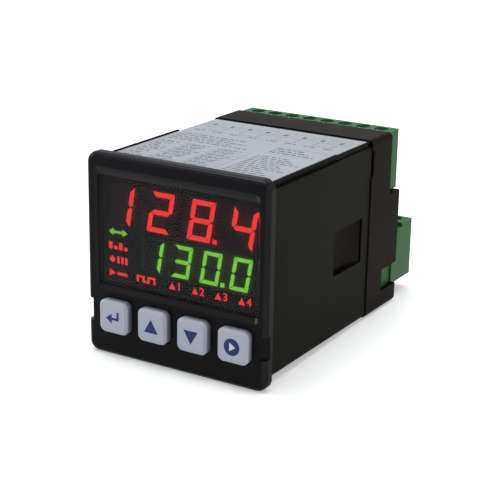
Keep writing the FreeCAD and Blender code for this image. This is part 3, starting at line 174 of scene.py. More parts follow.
def moulded_grain():
    """Fine spark texture of a moulding tool, with broad changes of gloss from handling."""
    group = bpy.data.node_groups.new("moulded_grain", "ShaderNodeTree")
    face = group.interface
    face.new_socket("Vector", in_out="INPUT", socket_type="NodeSocketVector")
    for label, value in (("Grain Scale", 3000.0), ("Roughness", 0.5), ("Gloss Change", 0.1)):
        socket = face.new_socket(label, in_out="INPUT", socket_type="NodeSocketFloat")
        socket.default_value = value
    face.new_socket("Roughness", in_out="OUTPUT", socket_type="NodeSocketFloat")
    face.new_socket("Height", in_out="OUTPUT", socket_type="NodeSocketFloat")
    face.new_socket("Mottle", in_out="OUTPUT", socket_type="NodeSocketFloat")
    start = group.nodes.new("NodeGroupInput")
    end = group.nodes.new("NodeGroupOutput")
    fine = group.nodes.new("ShaderNodeTexNoise")
    fine.inputs["Detail"].default_value = 3.0
    group.links.new(start.outputs["Vector"], fine.inputs["Vector"])
    group.links.new(start.outputs["Grain Scale"], fine.inputs["Scale"])
    broad = group.nodes.new("ShaderNodeTexNoise")
    broad.inputs["Scale"].default_value = 70.0
    broad.inputs["Detail"].default_value = 4.0
    group.links.new(start.outputs["Vector"], broad.inputs["Vector"])
    centred = group.nodes.new("ShaderNodeMath")
    centred.operation = "SUBTRACT"
    centred.inputs[1].default_value = 0.5
    group.links.new(broad.outputs["Fac"], centred.inputs[0])
    change = group.nodes.new("ShaderNodeMath")
    change.operation = "MULTIPLY_ADD"
    group.links.new(centred.outputs[0], change.inputs[0])
    group.links.new(start.outputs["Gloss Change"], change.inputs[1])
    group.links.new(start.outputs["Roughness"], change.inputs[2])
    group.links.new(change.outputs[0], end.inputs["Roughness"])
    group.links.new(fine.outputs["Fac"], end.inputs["Height"])
    group.links.new(broad.outputs["Fac"], end.inputs["Mottle"])
    return group


grain_group = moulded_grain()


def moulded_plastic(name, colour, roughness, specular=0.5, grain=3000.0, depth=0.05,
                    gloss_change=0.15, shade=0.12):
    """A moulded finish: its own colour with slight mottling, spark grain and uneven gloss."""
    material = bpy.data.materials.new(name)
    material.use_nodes = True
    tree = material.node_tree
    shader = tree.nodes["Principled BSDF"]
    shader.inputs["Specular IOR Level"].default_value = specular
    place = tree.nodes.new("ShaderNodeTexCoord")
    texture = tree.nodes.new("ShaderNodeGroup")
    texture.node_tree = grain_group
    texture.inputs["Grain Scale"].default_value = grain
    texture.inputs["Roughness"].default_value = roughness
    texture.inputs["Gloss Change"].default_value = gloss_change
    tree.links.new(place.outputs["Object"], texture.inputs["Vector"])
    tint = tree.nodes.new("ShaderNodeMix")
    tint.data_type = "RGBA"
    tint.inputs["A"].default_value = (*[c * (1 - shade) for c in colour], 1)
    tint.inputs["B"].default_value = (*[min(1, c * (1 + shade)) for c in colour], 1)
    tree.links.new(texture.outputs["Mottle"], tint.inputs["Factor"])
    tree.links.new(tint.outputs["Result"], shader.inputs["Base Color"])
    tree.links.new(texture.outputs["Roughness"], shader.inputs["Roughness"])
    bump = tree.nodes.new("ShaderNodeBump")
    bump.inputs["Strength"].default_value = 0.35
    bump.inputs["Distance"].default_value = depth * MM
    tree.links.new(texture.outputs["Height"], bump.inputs["Height"])
    tree.links.new(bump.outputs["Normal"], shader.inputs["Normal"])
    return material


def softened_copy(node, name, width, segments=2, angle=28.0):
    """A merged copy of a solid whose sharp edges get the small radius of a real moulding."""
    mould = bmesh.new()
    mould.from_mesh(nodes[node].data)
    bmesh.ops.remove_doubles(mould, verts=mould.verts, dist=1e-7)
    bmesh.ops.dissolve_limit(mould, angle_limit=math.radians(0.5), verts=mould.verts,
                             edges=mould.edges)
    sharp = [edge for edge in mould.edges
             if len(edge.link_faces) == 2 and edge.calc_face_angle(0) > math.radians(angle)]
    bmesh.ops.bevel(mould, geom=sharp, offset=width * MM, affect="EDGES", segments=segments,
                    profile=0.5, material=-1, clamp_overlap=True)
    for face in mould.faces:
        face.smooth = True
    data = bpy.data.meshes.new(name)
    mould.to_mesh(data)
    mould.free()
    piece = bpy.data.objects.new(name, data)
    bpy.context.collection.objects.link(piece)
    weighted = piece.modifiers.new("even_shading", "WEIGHTED_NORMAL")
    weighted.keep_sharp = True
    return piece


bezel_black = (0.005, 0.005, 0.006)
bezel_plastic = moulded_plastic("bezel_satin_black", bezel_black, 0.4, specular=0.06)
bezel = softened_copy("front_bezel", "bezel_moulding", 0.12)
bezel.data.materials.append(bezel_plastic)
bevel_gloss = moulded_plastic("bezel_polished_bevel", bezel_black, 0.25, specular=0.13,
                              depth=0.0)
bezel.data.materials.append(bevel_gloss)
for face in bezel.data.polygons:
    spot = face.center / MM
    in_lens_recess = -2.95 < spot.y < -2.12 and abs(spot.x) < 22.1 and -8.4 < spot.z < 21.0
    on_rim = max(abs(spot.x), abs(spot.z)) > 23.1 and spot.y < -2.3
    if abs(face.normal.y) < 0.95 and (in_lens_recess or on_rim):
        face.material_index = 1
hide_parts("front_bezel")
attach(bezel, "controller")


# ---- Panel gasket ----
# Soft black rubber ring, flush in the groove on the back of the bezel.

gasket_rubber = moulded_plastic("gasket_rubber", (0.012, 0.012, 0.012), 0.75, specular=0.25,
                                grain=1800.0, depth=0.03)
nodes["panel_gasket"].data.materials[0] = gasket_rubber


# ---- Digit displays ----
# Two black LED blocks behind the lens, red above green. Each bar of a digit is a small
# light guide, a tenth proud of the block; those in use glow, and their spill light is painted as
# a glow on the block around them.

def glowing(name, colour, strength, centre_boost=0.25):
    """A light guide lit from behind, a little uneven as the diode is nearer its middle."""
    material = bpy.data.materials.new(name)
    material.use_nodes = True
    tree = material.node_tree
    shader = tree.nodes["Principled BSDF"]
    shader.inputs["Base Color"].default_value = (*[c * 0.25 for c in colour], 1)
    shader.inputs["Roughness"].default_value = 0.4
    place = tree.nodes.new("ShaderNodeTexCoord")
    patch = tree.nodes.new("ShaderNodeTexNoise")
    patch.inputs["Scale"].default_value = 900.0
    patch.inputs["Detail"].default_value = 2.0
    tree.links.new(place.outputs["Object"], patch.inputs["Vector"])
    tint = tree.nodes.new("ShaderNodeMix")
    tint.data_type = "RGBA"
    tint.inputs["A"].default_value = (*[c * (1 - centre_boost) for c in colour], 1)
    tint.inputs["B"].default_value = (*[min(1.0, c * (1 + centre_boost)) for c in colour], 1)
    tree.links.new(patch.outputs["Fac"], tint.inputs["Factor"])
    tree.links.new(tint.outputs["Result"], shader.inputs["Emission Color"])
    shader.inputs["Emission Strength"].default_value = strength
    return material


led_black = (0.004, 0.004, 0.005)


def bar_glow_black(name, colour, strength):
    """Black block face with a painted glow in the colour of the lit bars near it."""
    material = moulded_plastic(name, led_black, 0.6, specular=0.08)
    tree = material.node_tree
    shader = tree.nodes["Principled BSDF"]
    # Painted glow: emission in the bar colour, strongest next to the lit bars.
    near = tree.nodes.new("ShaderNodeAttribute")
    near.attribute_name = "painted_bar_glow"
    tint = tree.nodes.new("ShaderNodeMix")
    tint.data_type = "RGBA"
    tint.inputs["A"].default_value = (0, 0, 0, 1)
    tint.inputs["B"].default_value = (*colour, 1)
    tree.links.new(near.outputs["Fac"], tint.inputs["Factor"])
    tree.links.new(tint.outputs["Result"], shader.inputs["Emission Color"])
    shader.inputs["Emission Strength"].default_value = strength
    return material


BARS = {"top": (0, 1, 1), "middle": (0, 0, 1), "bottom": (0, -1, 1),
        "upper_left": (-1, 0.5, 0), "upper_right": (1, 0.5, 0),
        "lower_left": (-1, -0.5, 0), "lower_right": (1, -0.5, 0)}
SHOWN = {"0": "top bottom upper_left upper_right lower_left lower_right",
         "1": "upper_right lower_right",
         "2": "top middle bottom upper_right lower_left",
         "3": "top middle bottom upper_right lower_right",
         "4": "middle upper_left upper_right lower_right",
         "8": "top middle bottom upper_left upper_right lower_left lower_right"}
lean = math.tan(math.radians(10.0))


def bar_outline(kind, centre, low, width, height, bar, gap=0.10):
    """Corner points of one bar of a leaning digit, in millimetres. The outer bars are
    mitred where they meet at a corner, and the middle bar is pointed."""
    side, level, flat = BARS[kind]
    far_x, far_z, point = width / 2, height / 2, bar / 2
    if flat and level:
        shape = [(gap - far_x, level * far_z), (far_x - gap, level * far_z),
                 (far_x - bar - gap, level * (far_z - bar)),
                 (bar + gap - far_x, level * (far_z - bar))]
    elif flat:
        reach = far_x - point - gap
        shape = [(-reach, 0), (point - reach, -point), (reach - point, -point), (reach, 0),
                 (reach - point, point), (point - reach, point)]
    else:
        up = 1 if level > 0 else -1
        shape = [(side * far_x, up * (far_z - gap)), (side * far_x, up * (point * 0.6 + gap)),
                 (side * (far_x - point), up * gap), (side * (far_x - bar), up * (point + gap)),
                 (side * (far_x - bar), up * (far_z - bar - gap))]
    return [(centre + x + z * lean, low + height / 2 + z) for x, z in shape]


def raise_outline(mould, outline, front, depth):
    """Builds one flat shape on the front plane and extrudes it back into the block."""
    rim = [mould.verts.new((x * MM, front * MM, z * MM)) for x, z in outline]
    face = mould.faces.new(rim)
    grown = bmesh.ops.extrude_face_region(mould, geom=[face])
    moved = [item for item in grown["geom"] if isinstance(item, bmesh.types.BMVert)]
    bmesh.ops.translate(mould, verts=moved, vec=(0, depth * MM, 0))


def finish_piece(mould, name, material, body):
    """Turns a mould into a piece that rides on its body."""
    bmesh.ops.recalc_face_normals(mould, faces=mould.faces)
    data = bpy.data.meshes.new(name)
    mould.to_mesh(data)
    mould.free()
    piece = bpy.data.objects.new(name, data)
    bpy.context.collection.objects.link(piece)
    data.materials.append(material)
    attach(piece, body)
    return piece


unlit_red = moulded_plastic("unlit_red_guide", (0.012, 0.005, 0.005), 0.5, specular=0.08)
unlit_green = moulded_plastic("unlit_green_guide", (0.005, 0.008, 0.005), 0.5, specular=0.08)
DISPLAYS = [
    ("red", "128.4", 0.5, 10.73, 6.0, 9.4, 1.1, 7.3, (1.0, 0.022, 0.016), 1.2, unlit_red),
    ("green", "130.0", 4.65, 7.7, 4.7, 7.6, 0.85, -2.2, (0.24, 0.80, 0.045), 0.88, unlit_green),
]
for colour, reading, middle, pitch, width, height, bar, low, light, power, unlit in DISPLAYS:
    front = -0.75
    lit_bars, dark_bars, lit_spots = bmesh.new(), bmesh.new(), []
    digits = [letter for letter in reading if letter != "."]
    dotted = reading.index(".") - 1
    for place, digit in enumerate(digits):
        centre = middle + (place - 1.5) * pitch
        for kind in BARS:
            outline = bar_outline(kind, centre, low, width, height, bar)
            shown = kind in SHOWN[digit].split()
            raise_outline(lit_bars if shown else dark_bars, outline, front, 0.1)
            if shown:
                side, level, flat = BARS[kind]
                x, z = side * (width - bar) / 2, level * (height - bar) / 2
                along = ((width / 2 - bar, 0) if flat else (0, height / 4 - bar))
                lit_spots.append(tuple((centre + x + end * along[0] + (z + end * along[1]) * lean,
                                        low + height / 2 + z + end * along[1])
                                       for end in (-1, 1)))
        left = centre + width / 2 + 0.8 - height / 2 * lean
        dot = [(left, low), (left + 1.0, low), (left + 1.0, low + 1.0), (left, low + 1.0)]
        raise_outline(lit_bars if place == dotted else dark_bars, dot, front, 0.1)
        if place == dotted:
            lit_spots.append(((left + 0.5, low + 0.5), (left + 0.5, low + 0.5)))
    finish_piece(lit_bars, colour + "_lit_bars", glowing(colour + "_light", light, power),
                 "controller")
    dark = finish_piece(dark_bars, colour + "_dark_bars", unlit, "controller")
    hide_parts(colour + "_digit_bars")

    low_corner, high_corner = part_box(colour + "_display_block")
    block = bmesh.new()
    bmesh.ops.create_cube(block, size=1.0)
    bmesh.ops.scale(block, verts=block.verts, vec=Vector(high_corner) - Vector(low_corner))
    bmesh.ops.translate(block, verts=block.verts,
                        vec=(Vector(high_corner) + Vector(low_corner)) / 2)
    bmesh.ops.bevel(block, geom=block.edges[:], offset=0.1 * MM, affect="EDGES", segments=1,
                    profile=0.5, material=-1)
    for face in [face for face in block.faces if face.normal.y < -0.9]:
        bmesh.ops.inset_region(block, faces=[face], thickness=0.3 * MM)
    front_face = [face for face in block.faces if face.normal.y < -0.9
                  and face.calc_area() > 1e-4]
    bmesh.ops.translate(block, verts=front_face[0].verts, vec=(0, 0.02 * MM, 0))
    bmesh.ops.subdivide_edges(block, edges=front_face[0].edges, cuts=90, use_grid_fill=True)
    block_piece = finish_piece(block, colour + "_block_face",
                               bar_glow_black(colour + "_block_black", light, 0.10),
                               "controller")
    # Painted glow: the block's emission fades with distance from the lit bars.
    painted_bar_glow = block_piece.data.attributes.new("painted_bar_glow", "FLOAT", "POINT")
    for vertex, value in zip(block_piece.data.vertices, painted_bar_glow.data):
        spot = Vector((vertex.co.x / MM, vertex.co.z / MM))
        nearest = min((spot - Vector(a).lerp(Vector(b), max(0.0, min(1.0,
                      (spot - Vector(a)).dot(Vector(b) - Vector(a))
                      / max(1e-6, (Vector(b) - Vector(a)).length_squared))))).length
                      for a, b in lit_spots)
        value.value = math.exp(-max(0.0, nearest - bar / 2) / 0.7)
    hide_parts(colour + "_display_block")


# ---- Display mask ----
# Black film between the blocks and the lens; it hides the circuit board round the blocks
# and has openings for the two displays and for the L of status lights.

mask_black = moulded_plastic("mask_black", led_black, 0.6, specular=0.08)
lens_low, lens_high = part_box("display_window")
mask_low = Vector(lens_low) / MM + Vector((0.3, 0, 0.3))
mask_high = Vector(lens_high) / MM - Vector((0.3, 0, 0.3))
openings = [(Vector(low) / MM, Vector(high) / MM)
            for low, high in (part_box("red_display_block"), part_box("green_display_block"))]
ell_low, ell_high = [Vector(corner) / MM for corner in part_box("status_light_block")]
openings += [(ell_low, Vector((ell_low.x + 6.5, 0, ell_high.z))),
             (ell_low, Vector((ell_high.x, 0, ell_low.z + 2.7)))]
mask = bmesh.new()
bmesh.ops.create_grid(mask, x_segments=1, y_segments=1, size=0.5)
bmesh.ops.rotate(mask, verts=mask.verts, matrix=Matrix.Rotation(math.pi / 2, 3, "X"))
bmesh.ops.scale(mask, verts=mask.verts, vec=(mask_high - mask_low) * MM)
bmesh.ops.translate(mask, verts=mask.verts, vec=(mask_high + mask_low) / 2 * MM)
for low, high in openings:
    for spot, way in ((low, (1, 0, 0)), (high, (1, 0, 0)), (low, (0, 0, 1)), (high, (0, 0, 1))):
        bmesh.ops.bisect_plane(mask, geom=mask.verts[:] + mask.edges[:] + mask.faces[:],
                               plane_co=spot * MM, plane_no=way)
inside = [face for face in mask.faces
          if any(low.x < face.calc_center_median().x / MM < high.x
                 and low.z < face.calc_center_median().z / MM < high.z
                 for low, high in openings)]
bmesh.ops.delete(mask, geom=inside, context="FACES")
bmesh.ops.translate(mask, verts=mask.verts,
                    vec=(0, (-0.68 - (mask_high + mask_low).y / 2) * MM, 0))
bmesh.ops.solidify(mask, geom=mask.faces[:], thickness=0.02 * MM)
finish_piece(mask, "display_mask", mask_black, "controller")


# ---- Status lights ----
# Nine small windows in an L-shaped black block, four in a column and five in a row. Each
# has a cut-out sign that its own diode lights: arrows, a wave, bars and plain numbers.

light_black = moulded_plastic("light_block_black", led_black, 0.6, specular=0.08)
nodes["status_light_block"].data.materials[0] = light_black
window_black = moulded_plastic("light_window_black", (0.008, 0.005, 0.005), 0.5, specular=0.1)
nodes["status_lights"].data.materials[0] = window_black


sign_front = -0.76


def sign(mould, shapes, left, middle):
    """Flat sign of several small shapes, just in front of its window."""
    for shape in shapes:
        raise_outline(mould, [(left + x, middle + z) for x, z in shape], sign_front, 0.02)


def bar_shape(x, width, low=-0.7, high=0.7):
    return [(x, low), (x + width, low), (x + width, high), (x, high)]


left_arrow = [(0.0, 0.0), (1.4, -0.9), (1.4, 0.9)]
right_arrow = [(5.2, 0.0), (3.8, 0.9), (3.8, -0.9)]
play = [(0.1, -0.9), (1.9, 0.0), (0.1, 0.9)]
diamond = [(0.0, 0.0), (0.95, -0.9), (1.9, 0.0), (0.95, 0.9)]
green_signs, red_signs = bmesh.new(), bmesh.new()
sign(green_signs, [left_arrow, bar_shape(1.4, 2.4, -0.3, 0.3), right_arrow], -19.2, 5.5)
sign(red_signs, [bar_shape(0.0, 1.0, -0.85, 0.85), bar_shape(1.4, 1.0, -0.85, 0.0),
                 bar_shape(2.8, 1.0, -0.85, 0.85), bar_shape(4.2, 1.0, -0.85, 0.0)], -19.2, 2.2)
sign(red_signs, [diamond, bar_shape(2.3, 0.65, -0.85, 0.85), bar_shape(3.4, 0.65, -0.85, 0.85),
                 bar_shape(4.5, 0.65, -0.85, 0.85)], -19.2, -1.1)
sign(red_signs, [play, bar_shape(2.3, 2.85, -0.35, 0.35)], -19.2, -4.4)
sign(red_signs, [bar_shape(0.0, 0.6, -0.8, 0.8), bar_shape(0.6, 1.0, 0.35, 0.8),
                 bar_shape(1.6, 0.6, -0.8, 0.8), bar_shape(2.2, 0.8, -0.8, -0.35),
                 bar_shape(3.0, 0.6, -0.8, 0.8), bar_shape(3.6, 1.0, 0.35, 0.8),
                 bar_shape(4.6, 0.6, -0.8, 0.8)], -11.5, -4.4)
alarm = [(0.1, -0.85), (0.95, 0.85), (1.8, -0.85)]
alarm_pitch, bottom_row = 6.1, -4.4
for place in range(4):
    sign(red_signs, [alarm], -2.7 + place * alarm_pitch, bottom_row)


def add_number(mould, digits, height):
    """A plain number as thin flat shapes, added to a mould in the XY plane at the origin."""
    words = bpy.data.curves.new("number", "FONT")
    words.body = digits
    words.size = height * MM
    words.offset = 0.02 * height * MM
    words.align_x = "CENTER"
    words.align_y = "CENTER"
    words.extrude = 0.003 * MM
    holder = bpy.data.objects.new("number", words)
    bpy.context.collection.objects.link(holder)
    flat = bpy.data.meshes.new_from_object(holder)
    bpy.data.objects.remove(holder)
    mould.from_mesh(flat)
    bpy.data.meshes.remove(flat)


for place in range(4):
    number = bmesh.new()
    add_number(number, str(place + 1), 2.6)
    bmesh.ops.rotate(number, verts=number.verts, matrix=Matrix.Rotation(math.pi / 2, 3, "X"))
    bmesh.ops.translate(number, verts=number.verts,
                        vec=((0.1 + place * alarm_pitch) * MM, sign_front * MM,
                             bottom_row * MM))
    standing = bpy.data.meshes.new("number")
    number.to_mesh(standing)
    number.free()
    red_signs.from_mesh(standing)
    bpy.data.meshes.remove(standing)
finish_piece(green_signs, "green_sign", glowing("green_sign_light", (0.24, 0.80, 0.045), 0.8),
             "controller")
finish_piece(red_signs, "red_signs", glowing("red_sign_light", (1.0, 0.022, 0.014), 1.15),
             "controller")


# ---- Display window ----
# Smoked acrylic lens, glossy, bonded into the bezel with its face a little below the rim.

smoked = bpy.data.materials.new("smoked_acrylic")
smoked.use_nodes = True
smoked_tree = smoked.node_tree
smoked_shader = smoked_tree.nodes["Principled BSDF"]
smoked_shader.inputs["Transmission Weight"].default_value = 1.0
smoked_shader.inputs["IOR"].default_value = 1.16
smoked_place = smoked_tree.nodes.new("ShaderNodeTexCoord")
smoked_texture = smoked_tree.nodes.new("ShaderNodeGroup")
smoked_texture.node_tree = grain_group
smoked_texture.inputs["Grain Scale"].default_value = 400.0
smoked_texture.inputs["Roughness"].default_value = 0.03
smoked_texture.inputs["Gloss Change"].default_value = 0.04
smoked_tree.links.new(smoked_place.outputs["Object"], smoked_texture.inputs["Vector"])
smoked_tree.links.new(smoked_texture.outputs["Roughness"], smoked_shader.inputs["Roughness"])
smoked_tint = smoked_tree.nodes.new("ShaderNodeMix")
smoked_tint.data_type = "RGBA"
smoked_tint.inputs["A"].default_value = (0.62, 0.60, 0.62, 1)
smoked_tint.inputs["B"].default_value = (0.70, 0.68, 0.70, 1)
smoked_tree.links.new(smoked_texture.outputs["Mottle"], smoked_tint.inputs["Factor"])
smoked_tree.links.new(smoked_tint.outputs["Result"], smoked_shader.inputs["Base Color"])
lens = softened_copy("display_window", "window_lens", 0.15)
lens.data.materials.append(smoked)
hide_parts("display_window")
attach(lens, "controller")


# ---- Keys ----
# Four silicone caps in pale blue-grey with printed dark blue signs: a return arrow, an up
# and a down triangle, and a disc. Their flanks darken towards the gap in the bezel: painted
# shade, with some soil.

key_silicone = moulded_plastic("key_silicone", (0.43, 0.455, 0.53), 0.55, specular=0.3,
                               grain=1500.0, depth=0.02, shade=0.05)
# Painted shade with some soil: the key flanks darken from the face back towards the bezel gap.
key_shade_and_soil_colour = (0.055, 0.060, 0.075, 1)
key_tree = key_silicone.node_tree
key_split = key_tree.nodes.new("ShaderNodeSeparateXYZ")
key_tree.links.new(key_tree.nodes["Texture Coordinate"].outputs["Object"], key_split.inputs[0])
key_shade_depth = ramp(key_tree, key_split.outputs["Y"], -4.5 * MM, -3.2 * MM, 0.0, 0.8)
key_shade_and_soil = key_tree.nodes.new("ShaderNodeMix")
key_shade_and_soil.data_type = "RGBA"
key_shade_and_soil.inputs["B"].default_value = key_shade_and_soil_colour
key_tree.links.new(key_shade_depth, key_shade_and_soil.inputs["Factor"])
key_tree.links.new(key_tree.nodes["Mix"].outputs["Result"], key_shade_and_soil.inputs["A"])
key_tree.links.new(key_shade_and_soil.outputs["Result"],
                   key_tree.nodes["Principled BSDF"].inputs["Base Color"])
key_ink = moulded_plastic("key_ink", (0.014, 0.032, 0.13), 0.5, specular=0.2, grain=1500.0,
                          depth=0.01)
key_paper = moulded_plastic("key_ink_white", (0.62, 0.66, 0.72), 0.5, specular=0.3)


def triangle_up(size, turn=1):
    return [[(-size, -0.75 * size * turn), (size, -0.75 * size * turn),
             (0, 0.95 * size * turn)]]


def disc(radius, sides=28):
    turns = [2 * math.pi * i / sides for i in range(sides)]
    return [[(radius * math.cos(turn), radius * math.sin(turn)) for turn in turns]]


return_arrow = [[(1.15, 1.6), (1.75, 1.6), (1.75, -0.55), (-0.2, -0.55), (-0.2, -1.45),
                 (-1.9, -0.25), (-0.2, 0.95), (-0.2, 0.05), (1.15, 0.05)]]
key_shift, key_pitch, key_row = 0.5, 10.7, -13.8
KEYS = [("enter", 0, return_arrow), ("up", 1, triangle_up(1.9)),
        ("down", 2, triangle_up(1.9, -1)), ("run", 3, disc(2.0))]
for label, place, shapes in KEYS:
    cap = softened_copy("key_" + label, "key_%s_cap" % label, 0.22, segments=3)
    cap.data.materials.append(key_silicone)
    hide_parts("key_" + label)
    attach(cap, "key_" + label)
    centre = key_shift + (place - 1.5) * key_pitch
    for vertex in cap.data.vertices:
        if vertex.co.y < -4.99 * MM:
            vertex.co.y += 0.03 * MM
    ink = bmesh.new()
    for shape in shapes:
        raise_outline(ink, [(centre + x, key_row + z) for x, z in shape], -4.98, 0.01)
    finish_piece(ink, "key_%s_sign" % label, key_ink, "key_" + label)
mark = bmesh.new()
raise_outline(mark, [(key_shift + 1.5 * key_pitch + x, key_row + z) for x, z in
                     [(-0.6, -1.0), (1.0, 0.0), (-0.6, 1.0)]], -4.99, 0.01)
finish_piece(mark, "key_run_mark", key_paper, "key_run")
nodes["keypad_mat"].data.materials[0] = key_silicone
contact_gold = moulded_plastic("contact_gold", (0.85, 0.62, 0.25), 0.35)
contact_gold.node_tree.nodes["Principled BSDF"].inputs["Metallic"].default_value = 1.0
nodes["key_contacts"].data.materials[0] = contact_gold


# ---- Housing sleeve ----
# Square tube in black flame-retardant plastic, open at both ends. Rounded long edges,
# a side window on each flank for the rear cover's catch, and two thin rails on top.

housing_plastic = moulded_plastic("housing_satin_black", (0.006, 0.0055, 0.0038), 0.42,
                                  specular=0.02, grain=2200.0, depth=0.04, gloss_change=0.2)
housing = softened_copy("housing_sleeve", "housing_moulding", 0.14)
housing.data.materials.append(housing_plastic)
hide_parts("housing_sleeve")
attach(housing, "controller")


# ---- Top label ----
# Silvered polyester label stuck on top of the sleeve, printed with a wiring table in
# dark grey: ruled lines, small blocks for the text, and a row of numbered boxes.

label_film = bpy.data.materials.new("silver_polyester")
label_film.use_nodes = True
label_tree = label_film.node_tree
label_shader = label_tree.nodes["Principled BSDF"]
label_shader.inputs["Metallic"].default_value = 0.35
label_place = label_tree.nodes.new("ShaderNodeTexCoord")
label_streak = label_tree.nodes.new("ShaderNodeMapping")
label_streak.inputs["Scale"].default_value = (0.12, 2.2, 1.0)
label_tree.links.new(label_place.outputs["Object"], label_streak.inputs["Vector"])
label_texture = label_tree.nodes.new("ShaderNodeGroup")
label_texture.node_tree = grain_group
label_texture.inputs["Grain Scale"].default_value = 1400.0
label_texture.inputs["Roughness"].default_value = 0.42
label_texture.inputs["Gloss Change"].default_value = 0.16
label_tree.links.new(label_streak.outputs["Vector"], label_texture.inputs["Vector"])
label_tint = label_tree.nodes.new("ShaderNodeMix")
label_tint.data_type = "RGBA"
label_tint.inputs["A"].default_value = (0.225, 0.245, 0.28, 1)
label_tint.inputs["B"].default_value = (0.33, 0.35, 0.385, 1)
label_tree.links.new(label_texture.outputs["Mottle"], label_tint.inputs["Factor"])
label_tree.links.new(label_tint.outputs["Result"], label_shader.inputs["Base Color"])
label_tree.links.new(label_texture.outputs["Roughness"], label_shader.inputs["Roughness"])
nodes["top_label"].data.materials[0] = label_film

label_ink = moulded_plastic("label_ink", (0.075, 0.085, 0.11), 0.5, specular=0.2)
label_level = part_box("top_label")[1][2] / MM - 0.004


def print_patch(mould, left, front, width, depth):
    """One printed patch on the label, a few thousandths of a millimetre thick."""
    patch = bmesh.ops.create_grid(mould, x_segments=1, y_segments=1, size=0.5)
    bmesh.ops.scale(mould, verts=patch["verts"], vec=(width * MM, depth * MM, 1))
    bmesh.ops.translate(mould, verts=patch["verts"],
                        vec=((left + width / 2) * MM, (front + depth / 2) * MM,
                             label_level * MM))


def print_words(mould, left, front, length, depth, start):
    """A line of small print: dashes of uneven length with spaces between them."""
    words = (1.5, 0.8, 2.0, 1.2, 0.6, 1.7, 1.0, 2.4)
    along = left
    while along < left + length - 0.3:
        word = min(words[start % 8], left + length - along)
        print_patch(mould, along, front, word, depth)
        along += word + 0.5
        start += 1


label_print = bmesh.new()
for row in range(8):
    print_patch(label_print, -20.2, 4.2 + row * 2.5, 25.0, 0.12)
for column in (-20.2, -13.0, -4.2, 4.68):
    print_patch(label_print, column, 4.2, 0.12, 17.5)
for row in range(7):
    for column, length in ((-19.5, 5.2), (-12.3, 6.8), (-3.5, 6.6)):
        print_words(label_print, column, 4.9 + row * 2.5, length - (row * 3 % 4) * 0.8, 0.55,
                    row + int(length))
        print_words(label_print, column, 5.8 + row * 2.5, length - (row * 5 % 3) * 1.1, 0.45,
                    row + 3)
for row in range(12):
    print_words(label_print, 6.6, 4.4 + row * 1.5, 13.0 - (row * 5 % 4) * 1.3, 0.55, row * 3)
for row in range(5):
    print_words(label_print, -20.0, 23.6 + row * 1.6, 22.0 - (row * 3 % 5) * 1.6, 0.6, row * 5)
print_patch(label_print, 6.6, 24.0, 13.0, 0.14)
print_patch(label_print, 6.6, 30.6, 13.0, 0.14)
for row in range(3):
    print_words(label_print, 7.2, 25.2 + row * 1.8, 11.4 - row * 2.1, 0.7, row)
for place in range(8):
    left = -20.0 + place * 5.08
    for side in (0.0, 3.88):
        print_patch(label_print, left + side, 39.6, 0.12, 4.6)
    for side in (0.0, 4.48):
        print_patch(label_print, left, 39.6 + side, 4.0, 0.12)
    print_patch(label_print, left + 1.5, 41.0, 1.0, 1.7)
    print_patch(label_print, left + 1.92, 36.4, 0.16, 3.2)
    print_words(label_print, left + 0.5, 34.6, 3.0, 0.6, place)
for pair in range(4):
    print_patch(label_print, -18.0 + pair * 10.16, 36.3, 5.1, 0.14)
bmesh.ops.solidify(label_print, geom=label_print.faces[:], thickness=-0.006 * MM)
finish_piece(label_print, "label_print", label_ink, "controller")


# ---- Top rails ----
# Two thin ribs of the sleeve that stand beside the label over the front part of its
# length; the panel clamp slides along them.

for name, side in (("left_top_rail", -1), ("right_top_rail", 1)):
    rail = bmesh.new()
    bmesh.ops.create_cube(rail, size=1.0)
    bmesh.ops.scale(rail, verts=rail.verts, vec=(0.6 * MM, 28.6 * MM, 0.6 * MM))
    bmesh.ops.translate(rail, verts=rail.verts, vec=(side * 21.78 * MM, 16.7 * MM, 22.4 * MM))
    bmesh.ops.bevel(rail, geom=rail.edges[:], offset=0.1 * MM, affect="EDGES", segments=2,
                    profile=0.5, material=-1)
    finish_piece(rail, name, housing_plastic, "controller")


# ---- Rear cover ----
# Square cap of the same black plastic that slides into the sleeve from behind; its long
# arms reach forward inside the sleeve and end in catches that show in the side windows.

cover_plastic = moulded_plastic("cover_satin_black", (0.006, 0.0045, 0.003), 0.46,
                                specular=0.02, grain=2200.0, depth=0.04, gloss_change=0.2)
cover = softened_copy("rear_cover", "rear_cover_moulding", 0.14)
cover.data.materials.append(cover_plastic)
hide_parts("rear_cover")
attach(cover, "controller")


# ---- Terminal plugs ----
# Two eight-way pluggable terminals in green polyamide, one above the other. They pull
# straight off their headers. A fine groove parts the ways, each with a wire hole, a screw
# and a number printed on top. The groove is darkened by painted shade.

nylon_green = (0.026, 0.108, 0.034)
way_pitch = 5.08
terminal_nylon = moulded_plastic("terminal_green_nylon", nylon_green, 0.45,
                                 specular=0.1, grain=1800.0, depth=0.05, gloss_change=0.15)
nylon_tree = terminal_nylon.node_tree
way_split = nylon_tree.nodes.new("ShaderNodeSeparateXYZ")
nylon_tree.links.new(nylon_tree.nodes["Texture Coordinate"].outputs["Object"],
                     way_split.inputs[0])
way_joint = nylon_tree.nodes.new("ShaderNodeMath")
way_joint.operation = "PINGPONG"
way_joint.inputs[1].default_value = way_pitch / 2 * MM
nylon_tree.links.new(way_split.outputs["X"], way_joint.inputs[0])
way_groove = ramp(nylon_tree, way_joint.outputs[0], 0.08 * MM, 0.2 * MM, 0.0, 1.0)
way_bump = nylon_tree.nodes.new("ShaderNodeBump")
way_bump.inputs["Strength"].default_value = 0.8
way_bump.inputs["Distance"].default_value = 0.25 * MM
nylon_tree.links.new(way_groove, way_bump.inputs["Height"])
nylon_tree.links.new(nylon_tree.nodes["Bump"].outputs["Normal"], way_bump.inputs["Normal"])
